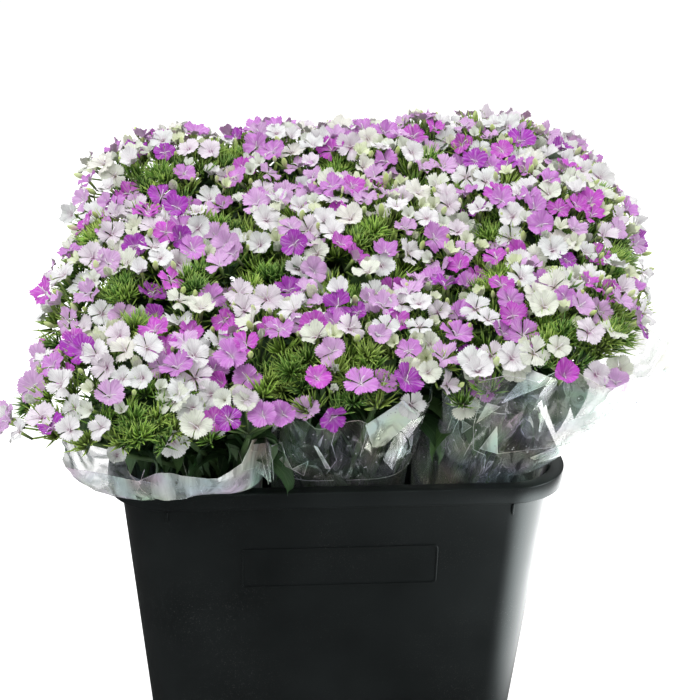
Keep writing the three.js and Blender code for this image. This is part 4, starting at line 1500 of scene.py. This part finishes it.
def hemRing(name, cell):  # above it, the hem keeps to the planes that part the bunches
    hem = hems[name]
    radius = sleeve["corner"] - sleeve["gap"]
    corners = []
    for k, sides in enumerate(quarters):
        isOuter = sides[0] == cell[0] or sides[1] == cell[1]
        level = hem["level"] if isOuter else hem["inner"]
        centre = np.array([0, 0, level])
        for axis, key in ((0, "x"), (1, "y")):
            side = sides[axis]
            if cell[axis] == side:
                edge = side * (mouth[axis] + hem[key])
            else:
                offset, lean = partings[key][cell[axis] + (side + 1) // 2]
                edge = offset + lean * (level - lipLevel)
            centre[axis] = edge - side * (sleeve["gap"] + radius)
        corners.append(arcAt(centre, radius, k, peaks.get((name, k), (0, 0))))
    return ringThrough(corners)


def cellOfBunch(name):
    return next(cell for cell, label in cellNames.items() if label == name)


def addFilm(name):
    cell = cellOfBunch(name)
    low, lip, hem = lowRing(cell, sleeve["bottom"]), lowRing(cell, lipLevel), hemRing(name, cell)
    around = len(low)
    lowRows, highRows = sleeve["rows"]
    obj = addGrid(around, lowRows + highRows)
    middle = cellMiddle(cell, lipLevel)
    seed = Vector((11.0 * cell[0], 7.0 * cell[1], sleeve["seed"]))
    roll = hems[name].get("roll", 1)  # above 1 the film first lies down over the rim and then stands up
    for vert in obj.data.vertices:
        column = round((vert.co.x + 1) / 2 * around) % around
        row = round((vert.co.y + 1) / 2 * (lowRows + highRows))
        if row <= lowRows:
            t = row / lowRows
            place = low[column] + (lip[column] - low[column]) * t
            depth = sleeve["creaseBelow"] * t
        else:
            t = (row - lowRows) / highRows
            place = lip[column] + (hem[column] - lip[column]) * (t ** (1 / roll), t ** (1 / roll), t ** roll)
            depth = sleeve["crease"] * min(1, sleeve["creaseRise"] * t) + sleeve["creaseBelow"] * (1 - t)
        inward = unit((middle - place) * (1, 1, 0))
        place = place + inward * depth * crumple(Vector(place), seed)
        if row > lowRows:
            place[2] += sleeve["jag"] * t * noise.noise(Vector(place) * sleeve["jagScale"] + seed)
        vert.co = place
    editMesh(obj)
    bpy.ops.mesh.remove_doubles(threshold=1e-5)
    leaveEdit(obj)
    modified(obj, "DECIMATE", ratio=sleeve["keep"])
    outwards(obj)
    bpy.ops.object.shade_smooth_by_angle(angle=math.radians(sleeve["smoothAngle"]))
    markFacets(obj, name)
    return obj


def crumple(place, seed):  # 0 on a crease and towards 1 in the middle of a facet
    at = place * sleeve["creaseScale"]
    at.z *= sleeve["upright"]
    near = noise.voronoi(at + seed)[0]
    fine = noise.voronoi(at * sleeve["smallCreases"] + seed)[0]
    large, small, swing = sleeve["creaseParts"]
    return large * (near[1] - near[0]) + small * (fine[1] - fine[0]) + swing * noise.noise(at * 0.5 + seed)


folds = {  # flaps where the film is doubled over: how milky, with painted sheen, and their corners across and up, in millimetres
    "front_left": [
        (0.26, (-74, 402), (-62, 403), (-62, 434), (-69, 449), (-79, 440)),
    ],
    "front_middle": [
        (1.40, (16, 449), (45, 476), (57, 463), (34, 423), (24, 423)),
        (0.16, (47, 442), (68, 448), (52, 424), (42, 396), (33, 410)),
        (0.50, (-62, 437), (-52, 426), (-49, 413), (-57, 412)),
        (0.70, (-56, 400), (-49, 413), (-43, 399)),
        (0.34, (-43, 399), (-30, 411), (-33, 393)),
        (0.75, (-26, 429), (-23, 427), (-11, 402), (-15, 403)),
        (0.10, (-51, 434), (-26, 409), (-47, 412)),
        (0.25, (-62, 448), (-57, 457), (-53, 446)),
    ],
    "front_right": [
        (0.80, (113, 475), (124, 471), (108, 449)),
        (0.62, (147, 502), (167, 498), (125, 475)),
        (0.80, (126, 445), (130, 414), (115, 419)),
        (0.70, (97, 450), (105, 445), (98, 436)),
        (0.60, (159, 408), (180, 421), (179, 414), (163, 406)),
        (0.14, (74, 506), (84, 502), (92, 440), (85, 432)),
        (0.40, (83, 450), (90, 449), (87, 433)),
    ],
}
ridges = {  # long creases, drawn as bright lines of painted highlight, in the same measures
    "front_left": [
        ((-80, 450), (-72, 436), (-66, 420), (-62, 404)), ((-74, 456), (-68, 440), (-61, 424), (-60, 406)),
        ((-84, 440), (-78, 428), (-70, 416), (-64, 402)), ((-96, 419), (-84, 414), (-74, 405)),
        ((-190, 413), (-181, 388)), ((-178, 416), (-168, 402), (-158, 388)),
        ((-165, 418), (-172, 398), (-160, 386)), ((-148, 414), (-128, 404), (-100, 400)),
        ((-124, 412), (-118, 396)),
    ],
    "front_middle": [
        ((-8, 446), (-11, 428), (-6, 410), (-14, 396)),
    ],
    "front_right": [
        ((112, 500), (107, 472), (106, 445), (109, 419)), ((109, 419), (120, 412), (121, 397)),
        ((130, 414), (180, 421), (192, 425)),
    ],
}


def onFilm(film, across, up):  # a point just in front of the film
    start = Vector((across / 1000, -0.4, up / 1000))
    isHit, place, _, _ = film.ray_cast(start, (0, 1, 0))
    place = place if isHit else Vector((start[0], sleeve["foldY"], start[2]))
    return place - Vector((0, sleeve["foldGap"], 0))


def setMilkAndSheen(obj, values):  # how milky the film is at each corner of its faces
    obj.data.attributes.new("milkAndSheen", "FLOAT", "CORNER").data.foreach_set("value", values)


def addFold(film, milkAndSheen, *corners):  # a flat flap that lies against the front of the film
    bpy.ops.mesh.primitive_circle_add(vertices=len(corners), fill_type="NGON", calc_uvs=True)
    flap = bpy.context.object
    for vert, corner in zip(flap.data.vertices, corners):
        vert.co = onFilm(film, *corner)
    setMilkAndSheen(flap, [milkAndSheen * (1 - 0.75 * k / len(corners)) for k in range(len(corners))])  # most milkiness and painted sheen at the first corner
    return flap


def creasesOf(obj):  # the sharp creases and the hem
    mesh = editMesh(obj)
    lines = []
    for edge in mesh.edges:
        isCreased = len(edge.link_faces) == 2 and edge.calc_face_angle() > math.radians(sleeve["lineAngle"])
        isHem = len(edge.link_faces) == 1
        isHigh = min(vert.co.z for vert in edge.verts) > lipLevel - sleeve["linesFrom"]
        if (isCreased or isHem) and isHigh:
            lines.append([vert.co.copy() for vert in edge.verts])
    leaveEdit(obj)
    return lines


# some facets turn milky, with painted sheen, and bright lines of painted highlight run along the sharp
# creases, the hem and the folds
def markFacets(obj, name):
    streaks = random.Random(sleeve["seed"] + 17 * len(name))
    lines = creasesOf(obj)
    mistEnd, amount = hems[name].get("mist", (1, 0))
    milkAndSheen = []
    for face in obj.data.polygons:
        isMilkyWithSheen = streaks.random() < sleeve["milkySheenShare"] and face.center.z > lipLevel - sleeve["milkySheenFrom"]
        share = min(max((face.center.x - mistEnd) / sleeve["mistWidth"] + 1, 0), 1)
        dull = hems[name].get("milkAndSheen", 0) + amount * share
        value = streaks.uniform(*sleeve["milkySheenFacets"]) if isMilkyWithSheen else dull + streaks.uniform(0, 0.04)
        milkAndSheen += [value * (streaks.uniform(0.2, 1) if isMilkyWithSheen else 1) for _ in face.loop_indices]
    setMilkAndSheen(obj, milkAndSheen)
    flaps = []
    for fold in folds.get(name, []):
        flaps.append(addFold(obj, *fold))
        places = [vert.co.copy() for vert in flaps[-1].data.vertices]
        if fold[0] > sleeve["plainBelow"]:
            lines += [[a, b] for a, b in zip(places, places[1:] + places[:1])]
    lines += [[onFilm(obj, *point) for point in points] for points in ridges.get(name, [])]
    creases = addBars("creases", lines, bevel_depth=sleeve["line"], bevel_resolution=0)
    # the lines are whitened in full: painted highlights along the creases
    setMilkAndSheen(creases, [1.0] * len(creases.data.loops))
    joined([obj, creases, *flaps])
    finishPiece(obj, "film_" + name, sleeveLook, "clear_film", "sleeve_" + name)


films = {bunch: addFilm(bunch) for bunch in bunchNames}
print("sleeves made")


droplets = {
    "count": 660, "radius": (0.00035, 0.0009), "flatness": 0.5, "seed": 21, "behind": -0.06,
    "on": ("front_left", "front_middle", "front_right"),
}


def addDroplets():  # condensation on the film, flattened beads
    bpy.ops.mesh.primitive_ico_sphere_add(subdivisions=1, radius=1, calc_uvs=True)
    bead = bpy.context.object
    bead.scale.z = droplets["flatness"]
    placeFlat(bead)
    drawn = random.Random(droplets["seed"])
    places, axes = [], []
    for name in droplets["on"]:
        mesh = films[name].data
        faces = [face for face in mesh.polygons
                 if face.center.z > lipLevel - sleeve["linesFrom"] and face.center.y < droplets["behind"]]
        count = droplets["count"] // len(droplets["on"])
        for face in drawn.choices(faces, [face.area for face in faces], k=count):
            first, second = sorted((drawn.random(), drawn.random()))
            weights = (first, second - first, 1 - second)
            places.append(sum((mesh.vertices[v].co * w for v, w in zip(face.vertices, weights)), Vector()))
            axes.append(face.normal)
    count = len(places)
    sizes = np.array([drawn.uniform(*droplets["radius"]) for _ in range(count)])
    frames = framesAlong(np.array(axes), np.zeros(count)) * sizes[:, None, None]
    piece = scatter("droplets", [(shapeOf(bead), frames, np.array(places), np.ones((count, 3)))])
    finishPiece(piece, "droplets", dropletLook, "droplets")


addDroplets()


# elastic ties: each wound three times round its bunch

tie = {
    "level": 0.140, "turns": 3, "rise": 0.0029, "thickness": 0.00125, "tilt": 0.05,
    "segments": 28, "sides": 8,
    "offStems": 0.0034,  # from the middle of a stem, which is swollen there, to the inside of the tie
}


def addTie(name):
    radius = tieRadius((headBunch == name).sum()) + tie["offStems"] + tie["thickness"]
    x, y, middle = cellMiddle(cellOfBunch(name), tie["level"])
    loops = []
    for step in range(tie["turns"]):
        k = step - 1
        bpy.ops.mesh.primitive_torus_add(
            major_segments=tie["segments"], minor_segments=tie["sides"],
            major_radius=radius, minor_radius=tie["thickness"], location=(x, y, middle + k * tie["rise"]),
            rotation=(tie["tilt"] * k, -tie["tilt"] * k / 2, 0))
        loops.append(bpy.context.object)
        placeFlat(loops[-1])
    obj = joined(loops)
    bpy.ops.object.shade_smooth()
    finishPiece(obj, "band_" + name, rubberLook, "rubber_band", "tie_" + name)


for bunch in bunchNames:
    addTie(bunch)
print("ties wound")


# the bucket: one face, drawn up through its outline from the underside to the inner floor

def outerAt(level, inset=0.0):
    halfX, halfY = (half + bucket["taper"] * level - inset for half in bucket["baseHalf"])
    return level, halfX, halfY, bucket["baseCorner"] + bucket["cornerGrowth"] * level - inset


def rimAt(level, inset=0.0):
    halfX, halfY = bucket["rimHalf"]
    return level, halfX - inset, halfY - inset, bucket["rimCorner"] - inset


def refit(verts, old, new):  # moves a ring from one rounded rectangle to another
    for vert in verts:
        for axis in (0, 1):
            side = math.copysign(1, vert.co[axis])
            share = (abs(vert.co[axis]) - (old[axis + 1] - old[3])) / old[3]
            vert.co[axis] = side * (new[axis + 1] - new[3] + share * new[3])
        vert.co.z = new[0]


def addRoundedFace(halfX, halfY, corner, segments):
    bpy.ops.mesh.primitive_plane_add(size=2)
    obj = bpy.context.object
    obj.scale = (halfX, halfY, 1)
    placeFlat(obj)
    editMesh(obj)
    bpy.ops.mesh.bevel(offset=corner, segments=segments, affect="VERTICES")
    leaveEdit(obj)
    return obj


def addBucketShell():
    height, rim, band, wall = (bucket[key] for key in ("height", "rimThickness", "rimBand", "wall"))
    chamfer = bucket["floorChamfer"]
    outline = [
        outerAt(0, bucket["foot"]),
        outerAt(bucket["foot"]),
        outerAt(0.5 * height),
        outerAt(height - rim),
        rimAt(height - rim, wall),
        rimAt(height - band, wall),
        rimAt(height - band),
        rimAt(height),
        outerAt(height, wall),
        outerAt(0.5 * height, wall),
        outerAt(bucket["floor"] + chamfer, wall),
        outerAt(bucket["floor"], wall + chamfer),
    ]
    obj = addRoundedFace(*outline[0][1:], bucket["cornerSteps"])
    editMesh(obj)
    for old, new in zip(outline, outline[1:]):
        bpy.ops.mesh.select_mode(type="FACE")
        bpy.ops.mesh.extrude_region_move(TRANSFORM_OT_translate={"value": (0, 0, 0.001)})
        mesh = bmesh.from_edit_mesh(obj.data)
        refit([vert for vert in mesh.verts if vert.select], old, new)
    leaveEdit(obj)
    outwards(obj)
    softenEdges(obj, bucket["softEdge"], 3, bucket["softAngle"])
    return obj


def softenEdges(obj, width, segments, angle=30):
    limit = math.radians(angle)
    modified(obj, "BEVEL", width=width, segments=segments, limit_method="ANGLE", angle_limit=limit)


def addRaised(obj, proud, level, across):  # stands a flat piece proud of the front wall, facing out
    editMesh(obj)
    bpy.ops.transform.translate(value=(0, 0, -bucket["sunk"]))
    bpy.ops.mesh.extrude_region_move(TRANSFORM_OT_translate={"value": (0, 0, proud + bucket["sunk"])})
    leaveEdit(obj)
    outwards(obj)
    softenEdges(obj, 0.3 * proud, 2)
    obj.rotation_euler = (math.pi / 2 + math.atan(bucket["taper"]), 0, 0)
    obj.location = (across, -(bucket["baseHalf"][1] + bucket["taper"] * level), level)
    placeFlat(obj)
    return obj


def addPanelFrame():
    panel = bucket["panel"]
    obj = addRoundedFace(*panel["half"], panel["corner"], panel["steps"])
    editMesh(obj)
    bpy.ops.mesh.select_mode(type="FACE")
    bpy.ops.mesh.inset(thickness=panel["line"])
    bpy.ops.mesh.delete(type="FACE")
    leaveEdit(obj)
    return addRaised(obj, bucket["proud"]["panel"], panel["middle"], 0)


def addLug(side):
    lug = bucket["lug"]
    obj = addRoundedFace(*lug["half"], lug["corner"], lug["steps"])
    level = bucket["height"] - bucket["rimBand"] - 2 * lug["half"][1]
    return addRaised(obj, bucket["proud"]["lug"], level, side * lug["offset"])


def twinBehind(obj):
    pick(obj)
    bpy.ops.object.duplicate()
    twin = bpy.context.object
    twin.rotation_euler.z = math.pi
    placeFlat(twin)
    return twin


def addBucket():
    front = [addPanelFrame(), addLug(-1), addLug(1)]
    back = [twinBehind(each) for each in front]
    obj = joined([addBucketShell(), *front, *back])
    bpy.ops.object.shade_smooth_by_angle(angle=math.radians(bucket["smoothAngle"]))
    finishPiece(obj, "blackBucket", plasticLook, "black_plastic", "bucket")


addBucket()
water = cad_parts["water"]
water.data.materials.clear()
water.data.materials.append(waterLook)
print("bucket made")


def addFloor():
    bpy.ops.mesh.primitive_plane_add(size=studio["floorSide"])
    floor = bpy.context.object
    floor.name = "floor"
    floor.data.materials.append(floorMaterial())


addFloor()
print("done")
